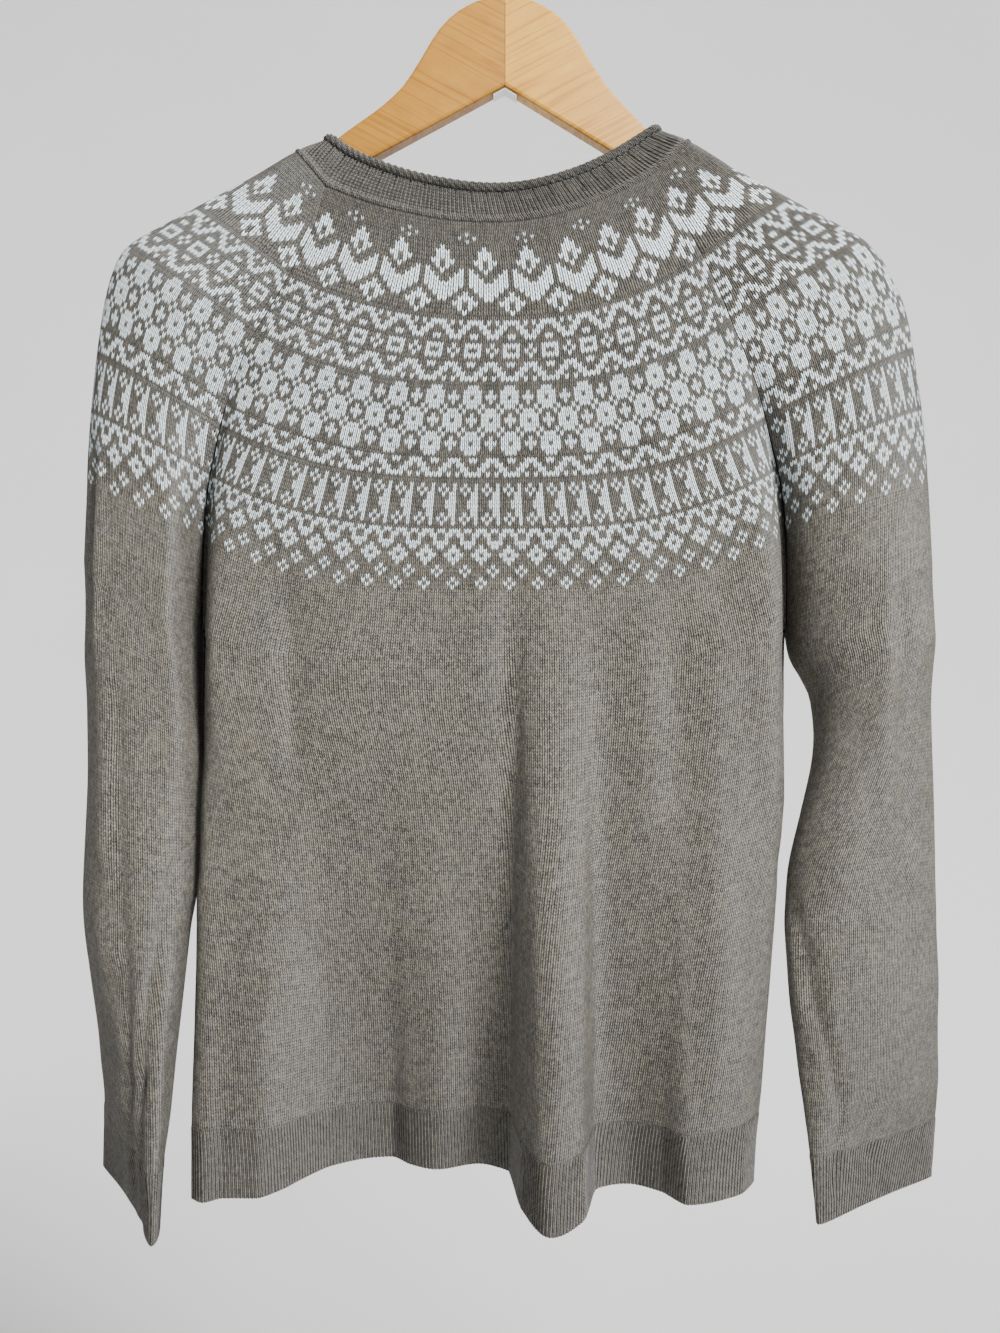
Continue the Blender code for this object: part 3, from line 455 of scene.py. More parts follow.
# ---- knitting ----
class Knitting:
    """A sheet of cloth worked row by row, with its stitches as UV coordinates."""

    def __init__(self, name, creases):
        self.name, self.line, self.facing = name, LINES[name], FACING[name]
        self.creases = creases
        self.points, self.shares, self.runs = [], [], []
        self.faces, self.gauge, self.yarn, self.rib = [], [], [], []
        self.edges = {"outer": ([], []), "inner": ([], [])}

    def sunk(self, run, shares):
        """A course whose raglan seams lie in the hollow between body and sleeve."""
        points = spaced(self.line(run), shares)
        deep = straight(HOLLOW, run)
        length = lengths(points)
        inset = np.minimum(length, length[-1] - length)
        if self.name.startswith("sleeve"):
            way = np.where(length < length[-1] / 2, 1.0, FAR_HOLLOW)
        else:
            way = 1.0 if self.name == "back_panel" else FAR_HOLLOW
        points[:, 1] += way * deep * np.exp(-(inset / HOLLOW_REACH) ** 2)
        return points

    def course(self, run, shares, depth):
        """Points and normals of a course, pressed in by creases, seams and the depth."""
        before, here, after = (self.sunk(run + step, shares) for step in (-1.0, 0.0, 1.0))
        across = np.gradient(here, axis=0)
        if run >= UNDERARM and self.name.startswith("sleeve"):
            across[0] = across[-1] = here[1] - here[-2]
        normal = unit(np.cross(across, after - before)) * self.facing
        length = lengths(here)
        inset = np.minimum(length, length[-1] - length)
        pressed = crease_depth(here, normal) * self.creases + depth
        if run <= UNDERARM + 14 and not depth:
            pressed = pressed + straight(SEAM_DIP, run) * np.exp(-(inset / SEAM_REACH) ** 2)
        return here - normal * pressed[:, None], normal

    def add(self, points, shares, run, layer):
        first = len(self.points)
        self.points += list(points)
        self.shares += list(shares)
        self.runs += list(np.broadcast_to(run, len(points)))
        row = list(range(first, first + len(points)))
        self.edges[layer][0].append(row[0])
        self.edges[layer][1].append(row[-1])
        return row

    def stitch_row(self, run, count, slant):
        """Row of points, two to a stitch, the middle ones lower by the slant."""
        shares = np.arange(2 * count + 1) / (2 * count)
        points = self.course(run, shares, 0.0)[0]
        runs = np.full(len(shares), float(run))
        if slant:
            lower = self.course(run + slant, shares, 0.0)[0]
            points[1::2], runs[1::2] = lower[1::2], run + slant
        return self.add(points, shares, runs, "outer")

    def plain_row(self, run, shares, depth=0.0, layer="outer", ribs=0):
        """Row of points at the given shares, waved when it has ribs."""
        points, normal = self.course(run, shares, depth)
        if ribs:
            points -= normal * (RIB_DEPTH * np.cos(2 * np.pi * ribs * shares))[:, None]
        return self.add(points, shares, run, layer)

    def face(self, corners, gauge, yarn=0.0, rib=0.0):
        self.faces.append(corners)
        self.gauge.append(gauge)
        self.yarn.append(yarn)
        self.rib.append(rib)

    def cells(self, upper, lower, gauge, yarn=None, rib=0.0):
        for c in range(len(upper) - 1):
            thread = yarn[c // 2] if yarn is not None else 0.0
            self.face((upper[c], upper[c + 1], lower[c + 1], lower[c]), gauge, thread, rib)

    def turn_over(self, first):
        """Turn the faces from the first given one on, to look the other way."""
        self.faces[first:] = [f[::-1] for f in self.faces[first:]]

    def zipper(self, upper, lower, gauge, by, rib=0.0):
        """Triangles between two rows of points with different counts."""
        i = j = 0
        while i < len(upper) - 1 or j < len(lower) - 1:
            ahead = i < len(upper) - 1 and (
                j == len(lower) - 1 or by[upper[i + 1]] <= by[lower[j + 1]])
            if ahead:
                self.face((upper[i], upper[i + 1], lower[j]), gauge, 0.0, rib)
                i += 1
            else:
                self.face((upper[i], lower[j + 1], lower[j]), gauge, 0.0, rib)
                j += 1

    def mesh(self):
        """The finished object, faces outwards, with its stitch UVs and yarn values."""
        faces = [f if self.facing > 0 else f[::-1] for f in self.faces]
        corners = np.concatenate([np.array(f) for f in faces])
        stitches, top, height = np.repeat(np.array(self.gauge, float),
                                          [len(f) for f in faces], axis=0).T
        uv = np.column_stack((np.array(self.shares)[corners] * stitches,
                              (np.array(self.runs)[corners] - top) / height))
        thing = knitted(self.name, self.points, faces, uv, weld=0.01 * MM,
                        yarn=self.yarn, rib=self.rib)
        thing.data.set_sharp_from_angle(angle=math.radians(SHARP))
        return thing


def placed(name, data):
    """A new object of the scene."""
    thing = bpy.data.objects.new(name, data)
    bpy.context.collection.objects.link(thing)
    return thing


def knitted(name, points, faces, uv, weld=0.0, **values):
    """Object of a knitted piece with its stitch UVs and a value or more for each face."""
    data = bpy.data.meshes.new(name + "_knit")
    data.from_pydata([Vector(p) * MM for p in points], [], faces)
    data.uv_layers.new(name="stitch").data.foreach_set("uv", np.array(uv, np.float32).ravel())
    for key, numbers in values.items():
        data.attributes.new(key, "FLOAT", "FACE").data.foreach_set(
            "value", np.array(numbers, np.float32))
    thing = placed(name + "_knit", data)
    sheet = bmesh.new()
    sheet.from_mesh(data)
    if weld:
        bmesh.ops.remove_doubles(sheet, verts=sheet.verts[:], dist=weld)
    bmesh.ops.recalc_face_normals(sheet, faces=sheet.faces[:])
    sheet.to_mesh(data)
    sheet.free()
    data.shade_smooth()
    return thing


def band_rows(band):
    """Row height of a band and the runs of its rows' upper edges, ground rows first."""
    count = len(band.chart)
    height = (band.last - band.first) / (count - 1)
    top = band.first - height / 2 - band.lead * height
    return height, top, [top + height * i for i in range(count + band.lead + 1)]


def stitch_counts():
    """Stitches of each piece in each band, and the chart column of the first one."""
    counts = []
    for band in BANDS:
        rows = band_rows(band)[-1]
        middle = (rows[0] + rows[-1]) / 2
        number = {name: max(4, round(lengths(LINES[name](middle))[-1] / band.stitch))
                  for name in LINES}
        repeat = len(band.chart[0])
        number["front_panel"] -= sum(number.values()) % repeat
        back = LINES["back_panel"](middle)
        at = np.interp(band.at_x, back[:, 0], lengths(back)) / lengths(back)[-1]
        shift = round(band.at_column - at * number["back_panel"])
        counts.append((number, shift))
    return counts


def chart_columns(name, number, shift):
    """Chart column of every stitch of a piece, counted round the yoke."""
    own = np.arange(number[name])
    if name == "sleeve_right":
        own = number["back_panel"] + own
    elif name == "sleeve_left":
        own = -1 - own
    elif name == "front_panel":
        own = number["back_panel"] + number["sleeve_right"] + number["front_panel"] - 1 - own
    return own + shift


def even_shares(knit, step):
    """Evenly spaced shares with two more beside each edge for the seam's dip."""
    length = lengths(knit.line(WIDTH_RUN))[-1]
    *edge, begin = np.array(EDGE_STEPS) / length
    inner = np.linspace(begin, 1 - begin, max(6, round(length / step)))
    return np.concatenate((edge, inner, 1 - np.array(edge[::-1])))


def plain_runs(start, stop):
    """Runs of the plain rows from the yoke to the rib, closer round the underarm."""
    return np.concatenate((
        np.linspace(start, 248, 7), np.arange(251, UNDERARM, 2.4), [UNDERARM],
        np.arange(260.5, 277, 2.6), np.arange(281, stop - 4, 5.0), [stop - 2.0]))


def inner_runs(end):
    """Runs of the inner face's rows, from the neck seam to just short of the end."""
    return np.concatenate((np.arange(0, 250, 8.0), [252, UNDERARM, 264, 276],
                           np.arange(284, end - 4, 8.0), [end - 1.0]))


def knit_yoke(knit, counts):
    """The patterned bands.  Returns the first row, the last one and the last one's run."""
    top_row = upper = None
    for band, (number, shift) in zip(BANDS, counts):
        stitches = number[knit.name]
        height, top, rows = band_rows(band)
        columns = chart_columns(knit.name, number, shift)
        if upper is None:
            top_row = upper = knit.stitch_row(0.0, stitches, 0.0)
            rows = [run for run in rows if run > 0.8]
        else:
            first = knit.stitch_row(rows[0], stitches, SLANT * height)
            knit.zipper(upper, first, (stitches, end, rows[0] - end), knit.shares,
                        straight(YOKE_PAINTED_SHADE, end))
            upper, rows = first, rows[1:]
        for run in rows:
            lower = knit.stitch_row(run, stitches, SLANT * height)
            index = round((run - height - top) / height) - band.lead
            yarn = None
            if index >= 0:
                chart = band.chart[index]
                thread = FLECK_YARN if band.chart is FLECKS else 1.0
                yarn = [thread * (chart[c % len(chart)] == "#") for c in columns]
            # The yoke's ground between the pattern's stitches takes painted shade by its run.
            knit.cells(upper, lower, (stitches, top, height), yarn, straight(YOKE_PAINTED_SHADE, run))
            upper = lower
        end = rows[-1]
    return top_row, upper, end


def knit_piece(name, counts, creases):
    """One piece of the jumper: yoke bands, plain knitting, rib, inner face and rims."""
    knit = Knitting(name, creases)
    top_row, upper, run = knit_yoke(knit, counts)
    end = END[name]
    start, rib_start = run + YOKE_GAP, end - RIB_LENGTH

    # plain knitting
    shares = even_shares(knit, PLAIN_STEP)
    wales = round(lengths(knit.line(GAUGE_RUN))[-1] / WALE)
    gauge = (wales, start, COURSE)
    lower = knit.plain_row(start, shares)
    knit.zipper(upper, lower, gauge, knit.shares)
    for run in plain_runs(start, rib_start)[1:]:
        upper, lower = lower, knit.plain_row(run, shares)
        # Painted shade that grows towards the rib at the piece's end, so the lowest plain
        # rows are darker.
        painted_lighting = max(0.0, run - LOW_PAINTED_SHADE_RUN) / (rib_start - LOW_PAINTED_SHADE_RUN)
        knit.cells(upper, lower, gauge, rib=LOW_PAINTED_SHADE * painted_lighting)

    # ribbing, four points to each one
    ribs = round(lengths(knit.line(rib_start + 15))[-1] / RIB_PITCH)
    shares = np.arange(4 * ribs + 1) / (4 * ribs)
    gauge = (ribs, rib_start, COURSE)
    upper, lower = lower, knit.plain_row(rib_start, shares, ribs=ribs)
    knit.zipper(upper, lower, gauge, knit.shares, RIB_PAINTED_SHADE)
    for run in np.linspace(rib_start, end - 0.5, RIB_ROWS)[1:]:
        upper, lower = lower, knit.plain_row(run, shares, ribs=ribs)
        knit.cells(upper, lower, gauge, rib=RIB_PAINTED_SHADE)
    bottom_row = lower

    # inner face
    shares = even_shares(knit, INNER_STEP)
    gauge = (wales, 0.0, COURSE)
    first = len(knit.faces)
    rows = [knit.plain_row(run, shares, CLOTH, "inner") for run in inner_runs(end)]
    for upper, lower in zip(rows, rows[1:]):
        knit.cells(upper, lower, gauge)
    knit.turn_over(first)

    # rims: below the underarm a sleeve is a closed tube
    knit.zipper(bottom_row, rows[-1], (ribs, end, COURSE), knit.shares, RIB_PAINTED_SHADE)
    knit.zipper(rows[0], top_row, gauge, knit.shares)
    stop = UNDERARM + 0.1 if name.startswith("sleeve") else math.inf
    for side in (0, 1):
        outer, inner = ([v for v in knit.edges[layer][side] if knit.runs[v] < stop]
                        for layer in ("outer", "inner"))
        first = len(knit.faces)
        knit.zipper(outer, inner, gauge, knit.runs)
        if side == 1:
            knit.turn_over(first)
    return knit.mesh()


def neck_ring(run, columns):
    """A course of the neckband: back, right sleeve, front and left sleeve in one."""
    parts = [panel_line(run, "near"), sleeve_line("right", run),
             panel_line(run, "far")[::-1], sleeve_line("left", run)[::-1]]
    line = np.vstack([part[:-1] for part in parts] + [parts[0][:1]])
    ring = spaced(line, np.arange(columns) / columns)
    for _ in range(int(np.interp(-run, (1, 6), (6, 50)))):
        ring = (np.roll(ring, 1, axis=0) + 2 * ring + np.roll(ring, -1, axis=0)) / 4
    return ring


def knit_neckband():
    """Ribbed band with a chained line along the neck seam and a rolled edge."""
    count = 4 * BAND_COLUMNS
    top = len(BAND_RUNS) - 1
    rings = [neck_ring(run, count) for run in BAND_RUNS]
    around = [np.roll(r, -1, axis=0) - np.roll(r, 1, axis=0) for r in rings]
    normals = [unit(np.cross(around[i], rings[min(i + 1, top)] - rings[max(i - 1, 0)]))
               for i in range(top + 1)]
    place = np.arange(count)
    turned = 2 * np.pi * place / 8
    fine = -BAND_WAVE * np.cos(2 * np.pi * place / 4)[:, None]
    groove = BAND_GROOVE * (place % 16 == 0)[:, None]
    loops, heights = [], [-run for run in BAND_RUNS]
    for i, (ring, normal) in enumerate(zip(rings, normals)):
        if i < len(CHAIN):
            out = CHAIN[i] * (1 + 0.4 * np.sin(turned + i * np.pi * 0.55)[:, None])
        else:
            wide = np.interp(-BAND_RUNS[i], (9, 14), (0, 1))
            out = (1 - 0.75 * wide) * fine - wide * groove
        loops.append(ring + normal * out)
    up = unit(rings[top] - rings[top - 1])
    centre = rings[top] + up * ROLL_RISE - normals[top] * ROLL_INSET
    for turn, degrees in enumerate(ROLL_ANGLES):
        angle = math.radians(degrees)
        grain = 1 + ROLL_GRAIN * np.cos(turned + turn * 1.6)
        loops.append(centre + (normals[top] * math.cos(angle) + up * math.sin(angle))
                     * (ROLL_RADIUS * grain[:, None]))
        heights.append(heights[top] + math.radians(degrees - ROLL_ANGLES[0]) * ROLL_RADIUS)
    for i in (top, 7, 4, 0):
        loops.append(rings[i] - normals[i] * CLOTH)
        heights.append(60 + BAND_RUNS[i])
    rows = len(loops)
    faces, uvs = [], []
    for r in range(rows):
        s = (r + 1) % rows
        low = -heights[r] / COURSE
        high = -heights[s] / COURSE if s else low - 1
        for c in range(count):
            d = (c + 1) % count
            faces.append((r * count + c, r * count + d, s * count + d, s * count + c))
            uvs += [(c / 4, low), ((c + 1) / 4, low), ((c + 1) / 4, high), (c / 4, high)]
    # The whole neckband takes the full share of painted shade.
    return knitted("neckband", np.vstack(loops), faces, uvs,
                   yarn=np.zeros(len(faces)), rib=np.ones(len(faces)),
                   chain=np.repeat(np.arange(rows) < len(CHAIN), count))


# ---- materials ----
def sums(operation, swap=False):
    """A method that adds a Math node of the given operation to a term."""
    def method(self, *others):
        return self.math(operation, *others, swap=swap)
    return method


class Term:
    """A socket in a material that can be used in sums."""

    def __init__(self, tree, socket):
        self.tree, self.socket = tree, socket

    def math(self, operation, *others, swap=False):
        node = self.tree.nodes.new("ShaderNodeMath")
        node.operation = operation
        terms = [self, *others]
        if swap:
            terms.reverse()
        for socket, term in zip(node.inputs, terms):
            feed(self.tree, socket, term)
        return Term(self.tree, node.outputs[0])

    __add__ = __radd__ = sums("ADD")
    __sub__, __rsub__ = sums("SUBTRACT"), sums("SUBTRACT", swap=True)
    __mul__ = __rmul__ = sums("MULTIPLY")
    __pow__ = sums("POWER")
    fraction, floor, size, sine = sums("FRACT"), sums("FLOOR"), sums("ABSOLUTE"), sums("SINE")

    def clipped(self):
        return self.math("MAXIMUM", 0.0).math("MINIMUM", 1.0)


def feed(tree, socket, value):
    """Link a term to a socket or set the socket's value."""
    if isinstance(value, Term):
        tree.links.new(value.socket, socket)
    else:
        socket.default_value = value


class Finish:
    """A procedural material: its Principled shader and the nodes that feed it."""

    def __init__(self, name, **constants):
        self.material = bpy.data.materials.new(name)
        self.material.use_nodes = True
        self.tree = self.material.node_tree
        self.shader = self.tree.nodes["Principled BSDF"]
        for key, value in constants.items():
            self.shader.inputs[key.replace("_", " ").title()].default_value = value

    def node(self, kind, output=0, settings=None, **inputs):
        node = self.tree.nodes.new(kind)
        for key, value in (settings or {}).items():
            setattr(node, key, value)
        for key, value in inputs.items():
            feed(self.tree, node.inputs[key.replace("_", " ")], value)
        return Term(self.tree, node.outputs[output])

    def mixed(self, factor, first, second, how="MIX"):
        node = self.tree.nodes.new("ShaderNodeMix")
        node.data_type, node.blend_type = "RGBA", how
        for socket, value in ((node.inputs[0], factor), (node.inputs[6], first),
                              (node.inputs[7], second)):
            feed(self.tree, socket, value)
        return Term(self.tree, node.outputs[2])

    def grey(self, value):
        return self.node("ShaderNodeCombineColor", Red=value, Green=value, Blue=value)

    def noise(self, where, scale, detail=2.0, roughness=0.5):
        return self.node("ShaderNodeTexNoise", settings={"noise_dimensions": "3D"},
                         Vector=where, Scale=scale, Detail=detail, Roughness=roughness)

    def place(self, turn=(0, 0, 0), stretch=(1, 1, 1)):
        """Object coordinates, turned and then stretched."""
        found = self.node("ShaderNodeTexCoord", 3)
        turned = self.node("ShaderNodeMapping", settings={"vector_type": "POINT"},
                           Vector=found, Rotation=turn)
        return self.node("ShaderNodeMapping", Vector=turned, Scale=stretch)

    def attribute(self, name):
        return self.node("ShaderNodeAttribute", "Fac", {"attribute_name": name})

    def bump(self, height, distance, strength=1.0, normal=None):
        extra = {} if normal is None else {"Normal": normal}
        return self.node("ShaderNodeBump", Height=height, Distance=distance,
                         Strength=strength, **extra)

    def wear(self, **inputs):
        for key, value in inputs.items():
            feed(self.tree, self.shader.inputs[key.replace("_", " ")], value)
        return self.material


def rgba(colour):
    return (*colour[:3], 1.0)


def knit_material(settings, neck=False):
    """Heather wool: legs of each stitch, fibres, mottling and the pattern's yarn, with
    painted shade between the legs and stitches, on the ribs, on the yoke's ground and on the
    lower rows.
    """
    wool = Finish("wool_neckband" if neck else "wool_knit", roughness=0.92,
                  sheen_weight=0.22, sheen_roughness=0.55)
    wool.shader.inputs["Specular IOR Level"].default_value = 0.12
    stitch = wool.node("ShaderNodeUVMap", settings={"uv_map": "stitch"})
    parts = wool.tree.nodes.new("ShaderNodeSeparateXYZ")
    wool.tree.links.new(stitch.socket, parts.inputs[0])
    u, v = Term(wool.tree, parts.outputs[0]), Term(wool.tree, parts.outputs[1])
    rib = wool.attribute("rib")
    across = u.fraction()
    peak = 1.0 - (across * 2.0 - 1.0).size()
    row = v - peak * SLANT
    leg = (across * (2 * math.pi)).sine().size() ** 0.9
    grain = 1.0 - (row.fraction() * 2.0 - 1.0).size() ** 2.6
    groove = 0.36 + (peak * 2.4).clipped() * 0.64
    relief = leg * groove * (0.42 + grain * 0.58)

    cell = wool.node("ShaderNodeCombineXYZ", X=(u * 2.0).floor(), Y=row.floor(), Z=0.5)
    spun = wool.node("ShaderNodeTexWhiteNoise", 0, {"noise_dimensions": "3D"}, Vector=cell)
    thread = wool.node("ShaderNodeCombineXYZ", X=u * 0.42, Y=row * 0.95, Z=0.5)
    streak = wool.noise(thread, 1.0, 2.0, 0.6)
    where = wool.place()
    fibre = wool.noise(where, 950.0, 3.0, 0.75)
    mottle = wool.noise(where, 38.0, 2.0, 0.5)
    yarn = wool.attribute("yarn")
    fleck = ((spun - 0.5) * 0.9 + (fibre - 0.5) * 2.5 + (streak - 0.5) * 1.5
             + (mottle - 0.5) * 0.45)
    # Painted shade in the gaps between the legs and in the grooves between stitches, taken
    # from the relief, plus the fleck's random tone of the yarn.
    painted_shade_and_fleck = 0.10 + relief * 1.75 + fleck * (1.0 - yarn * 0.55)
    heather = ((wool.noise(where, 85.0, 3.0, 0.65) - 0.5) * 3.2 + 0.5).clipped()
    tint = wool.mixed(heather, (1.01, 1.01, 0.93, 1.0), (0.98, 1.0, 1.03, 1.0))
    # Painted shade: the ground's wool darkens towards the darker tone by each face's share of
    # painted shade.
    ground = wool.mixed(rib, rgba(settings.ground), rgba(settings.rib))
    ground = wool.mixed(1.0, ground, tint, "MULTIPLY")
    blue = wool.mixed(yarn * (relief * 2.2 + 0.1).clipped(), ground, rgba(settings.pattern))
    if neck:
        blue = wool.mixed(wool.attribute("chain"), blue, rgba(settings.chain))
        # Painted shade: the neckband is darker all over, and darker still in the purl grooves
        # of its upper part.
        purl_painted_shade = (((u * 0.25).fraction() * 2.0 - 1.0).size() * 8.0 - 7.0).clipped()
        high = (v * -COURSE * 0.2 - 2.0).clipped()
        painted_shade_and_fleck = painted_shade_and_fleck * (0.76 - purl_painted_shade * high * 0.6)
    painted_shade_and_fleck = painted_shade_and_fleck.math("MAXIMUM", 0.06)
    colour = wool.mixed(1.0, blue, wool.grey(painted_shade_and_fleck), "MULTIPLY")
    height = relief + (fibre - 0.5) * 0.5 + (spun - 0.5) * 0.12
    return wool.wear(Base_Color=colour, Normal=wool.bump(height, 0.0012, 1.0))


def wood_material(name, settings, slope, painted_lighting):
    """Clear varnished wood with grain along the arm, tinted by the arm's painted light and
    shade.
    """
    wood = Finish(name, roughness=0.45, coat_weight=0.08, coat_roughness=0.3)
    wood.shader.inputs["Specular IOR Level"].default_value = 0.3
    wide, fine, figure = (
        wood.noise(wood.place((0, math.atan(slope), 0), stretch), 1.0, 2.0, roughness)
        for stretch, roughness in (((3.0, 30.0, 95.0), 0.5), ((22.0, 500.0, 1500.0), 0.6),
                                   ((60.0, 80.0, 130.0), 0.6)))
    rings = ((wide * 6.0).fraction() * 2.0 - 1.0).size() ** 3.0
    # The arm's tint paints its light and shade into both woods' colours.
    pale, dark = (rgba([c * t for c, t in zip(colour, painted_lighting)])
                  for colour in (settings.wood_pale, settings.wood_dark))
    late = (rings * 0.6 + (fine - 0.5) + (figure - 0.5) * 0.8 + 0.22).clipped()
    colour = wood.mixed(late, pale, dark)
    return wood.wear(Base_Color=colour, Roughness=0.28 + fine * 0.15,
                     Normal=wood.bump(fine * 0.5 + rings * 0.3, 0.0001, 0.5))


def steel_material():
    """Plated steel, lightly drawn along its length."""
    steel = Finish("plated_steel", metallic=1.0, base_color=(0.60, 0.60, 0.58, 1.0))
    drawn = steel.noise(steel.place(stretch=(1500.0, 1500.0, 60.0)), 1.0, 3.0, 0.6)
    return steel.wear(Roughness=0.22 + drawn * 0.16, Normal=steel.bump(drawn, 0.00004, 0.5))


# ---- settings ----
def colour_property(name, about, default):
    return bpy.props.FloatVectorProperty(name=name, description=about, subtype="COLOR",
                                         size=3, min=0.0, max=1.0, default=default)


class JumperSettings(bpy.types.PropertyGroup):
    ground: colour_property("Ground wool", "Heather ground wool", (0.172, 0.156, 0.127))
    pattern: colour_property("Pattern wool", "Yarn of the yoke's pattern", (0.82, 0.91, 0.94))
    # Painted shade: a tone darker than the ground's wool, standing in for the shade between
    # the ribs of hem, cuffs and neckband, on the yoke's ground and on the lowest plain rows.
    rib: colour_property("Ribs", "Wool in hem, cuffs and neckband", (0.086, 0.077, 0.062))
    chain: colour_property("Neck chain", "Chain along the neck seam", (0.115, 0.104, 0.084))
    creases: bpy.props.FloatProperty(
        name="Creases", description="How deep the soft creases are, as a share of the table",
        default=1.0, min=0.0, max=1.5, subtype="FACTOR")
    wood_pale: colour_property("Pale wood", "Early wood of the hanger", (0.74, 0.40, 0.06))
    wood_dark: colour_property("Dark wood", "Late wood of the hanger", (0.46, 0.20, 0.018))
    backdrop: colour_property("Backdrop", "Floor and wall of the stage", (0.95, 0.94, 0.93))


class Maker:
    """What all operators of the jumper share."""
    bl_options = {"REGISTER", "UNDO"}

    def hang(self, thing, node, material, slot):
        """Give a finished piece its material, node and body; the slot is not used."""
        thing.data.materials.append(material)
        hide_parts(node)
        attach(thing, "root")

    def knit(self, settings, wool, *names):
        """Knit and hang the named pieces."""
        counts = stitch_counts()
        for name in names:
            self.hang(knit_piece(name, counts, settings.creases), name, wool, "knit")
        return {"FINISHED"}


class JUMPER_OT_panels(Maker, bpy.types.Operator):
    """Knit the back and front panels with their hem ribs"""
    bl_idname = "jumper.panels"
    bl_label = "Back and front panels"

    def execute(self, context):
        settings = context.scene.jumper
        return self.knit(settings, knit_material(settings), "back_panel", "front_panel")


class JUMPER_OT_sleeves(Maker, bpy.types.Operator):
    """Knit the two raglan sleeves with their cuffs"""
    bl_idname = "jumper.sleeves"
    bl_label = "Sleeves"

    def execute(self, context):
        return self.knit(context.scene.jumper, bpy.data.materials["wool_knit"],
                         "sleeve_left", "sleeve_right")


class JUMPER_OT_neckband(Maker, bpy.types.Operator):
    """Knit the ribbed neckband with its rolled edge"""
    bl_idname = "jumper.neckband"
    bl_label = "Neckband"

    def execute(self, context):
        wool = knit_material(context.scene.jumper, neck=True)
        self.hang(knit_neckband(), "neckband", wool, "rib")
        return {"FINISHED"}


class JUMPER_OT_hanger(Maker, bpy.types.Operator):
    """Finish the two wooden arms, the hook and the joint plate"""
    bl_idname = "jumper.hanger"
    bl_label = "Hanger"

    def execute(self, context):
        settings = context.scene.jumper
        finishes = dict.fromkeys(("hook", "joint_plate"), steel_material())
        # Each arm's grain slope and its tint of painted light and shade.
        for side, grain in WOOD.items():
            finishes["hanger_arm_" + side] = wood_material("wood_" + side, settings, *grain)
        for name, material in finishes.items():
            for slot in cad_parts[name].material_slots:
                slot.material = material
        self.glue()
        return {"FINISHED"}

    def glue(self):
        """Thin line of glue in the mitre between the arms, open where the hook's stem is."""
        bpy.ops.object.select_all(action="DESELECT")
        bpy.ops.mesh.primitive_grid_add(x_subdivisions=3, y_subdivisions=2, size=1.0)
        line = bpy.context.object
        line.name = line.data.name = "mitre_glue"
        corners = sorted(line.data.vertices, key=lambda v: (round(v.co.y, 3), v.co.x))
        for corner, (z, y) in zip(corners, product(GLUE_Z, GLUE_Y)):
            corner.co = Vector((-GLUE_THICK / 2, y, z)) * MM
        line.data.update()
        bpy.ops.object.mode_set(mode="EDIT")
        bpy.ops.mesh.select_all(action="DESELECT")
        sheet = bmesh.from_edit_mesh(line.data)
        for face in sheet.faces:
            middle = face.calc_center_median() / MM
            face.select_set(abs(middle.y) < 1 and middle.z > GLUE_Z[1])
        bmesh.update_edit_mesh(line.data)
        bpy.ops.mesh.delete(type="ONLY_FACE")
        for step, options in (
                (bpy.ops.mesh.delete_loose, {}),
                (bpy.ops.mesh.extrude_region_move,
                 {"TRANSFORM_OT_translate": {"value": (GLUE_THICK * MM, 0.0, 0.0)}}),
                (bpy.ops.mesh.normals_make_consistent, {"inside": False})):
            bpy.ops.mesh.select_all(action="SELECT")
            step(**options)
        bpy.ops.object.mode_set(mode="OBJECT")
        glue = Finish("dried_glue", roughness=0.6)
        spots = glue.noise(glue.place(), 400.0, 2.0, 0.5)
        line.data.materials.append(glue.wear(Base_Color=glue.mixed(
            spots, (0.12, 0.06, 0.02, 1.0), (0.20, 0.10, 0.04, 1.0))))
        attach(line, "root")


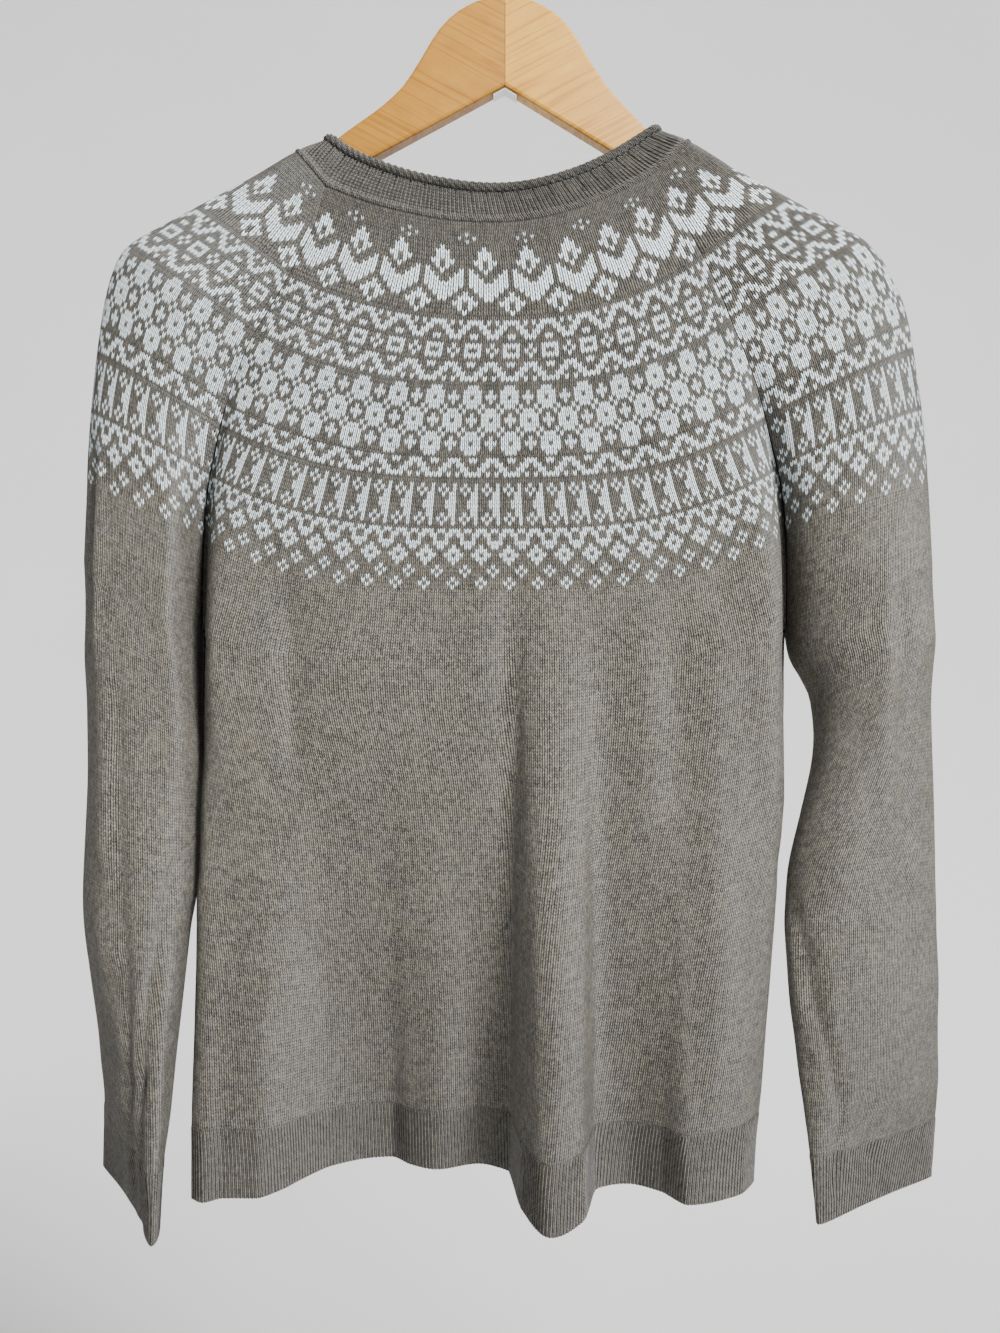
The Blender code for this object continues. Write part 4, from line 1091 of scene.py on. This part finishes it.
class JUMPER_OT_stage(Maker, bpy.types.Operator):
    """Set the pale floor, the soft light and the camera"""
    bl_idname = "jumper.stage"
    bl_label = "Stage"

    def execute(self, context):
        settings = context.scene.jumper
        self.sweep(settings)
        world = bpy.data.worlds.new("soft_room")
        world.use_nodes = True
        sky = world.node_tree.nodes["Background"].inputs
        sky[0].default_value, sky[1].default_value = ROOM_COLOUR, ROOM_STRENGTH
        context.scene.world = world
        for row in LAMPS:
            self.lamp(*row)
        camera = bpy.data.cameras.new("camera")
        camera.lens, camera.sensor_width = CAMERA_LENS, CAMERA_SENSOR
        view = context.scene.camera = placed("camera", camera)
        view.location = CAMERA_PLACE
        view.rotation_euler = (math.radians(90), 0, 0)
        return {"FINISHED"}

    def sweep(self, settings):
        """Floor that curves up into a wall well behind the jumper."""
        bend = [math.radians(degrees) for degrees in range(10, 91, 10)]
        profile = [(-3.0, FLOOR_Z), (BEND_Y, FLOOR_Z)]
        profile += [(BEND_Y + BEND_RADIUS * math.sin(a),
                     FLOOR_Z + BEND_RADIUS - BEND_RADIUS * math.cos(a)) for a in bend]
        profile += [(BEND_Y + BEND_RADIUS, 2.0)]
        points = [(x, y, z) for y, z in profile for x in (-4.0, 4.0)]
        faces = [(2 * i, 2 * i + 1, 2 * i + 3, 2 * i + 2) for i in range(len(profile) - 1)]
        data = bpy.data.meshes.new("floor_sweep")
        data.from_pydata(points, [], faces)
        data.shade_smooth()
        floor = placed("floor_sweep", data)
        paper = Finish("pale_paper", roughness=0.9)
        cloud = paper.noise(paper.place(), 1.4, 2.0, 0.5)
        paper.wear(Base_Color=paper.mixed(1.0, rgba(settings.backdrop),
                                          paper.grey(0.94 + cloud * 0.1), "MULTIPLY"))
        data.materials.append(paper.material)

    def lamp(self, name, kind, place, aim, softness, power):
        """A light from its row in the table."""
        data = bpy.data.lights.new(name, kind)
        data.energy = power
        if kind == "SUN":
            data.angle = math.radians(softness)
        else:
            data.shape, data.size = "DISK", softness
        lamp = placed(name, data)
        lamp.location = place
        aimed = Vector(aim) - Vector(place)
        lamp.rotation_euler = aimed.to_track_quat("-Z", "Y").to_euler()


class JUMPER_PT_panel(bpy.types.Panel):
    """Pieces of the jumper"""
    bl_label = "Jumper"
    bl_idname = "JUMPER_PT_panel"
    bl_space_type = "VIEW_3D"
    bl_region_type = "UI"
    bl_category = "Jumper"

    def draw(self, context):
        for name in JumperSettings.__annotations__:
            self.layout.prop(context.scene.jumper, name)
        for operator in OPERATORS:
            self.layout.operator(operator.bl_idname)


OPERATORS = (JUMPER_OT_panels, JUMPER_OT_sleeves, JUMPER_OT_neckband, JUMPER_OT_hanger,
             JUMPER_OT_stage)


def register():
    for kind in (JumperSettings, *OPERATORS, JUMPER_PT_panel):
        bpy.utils.register_class(kind)
    bpy.types.Scene.jumper = bpy.props.PointerProperty(type=JumperSettings)


def unregister():
    del bpy.types.Scene.jumper
    for kind in (JUMPER_PT_panel, *reversed(OPERATORS), JumperSettings):
        bpy.utils.unregister_class(kind)


def main():
    register()
    bpy.ops.object.select_all(action="DESELECT")
    bpy.ops.jumper.panels()
    bpy.ops.jumper.sleeves()
    bpy.ops.jumper.neckband()
    bpy.ops.jumper.hanger()
    bpy.ops.jumper.stage()


if __name__ == "__main__":
    main()
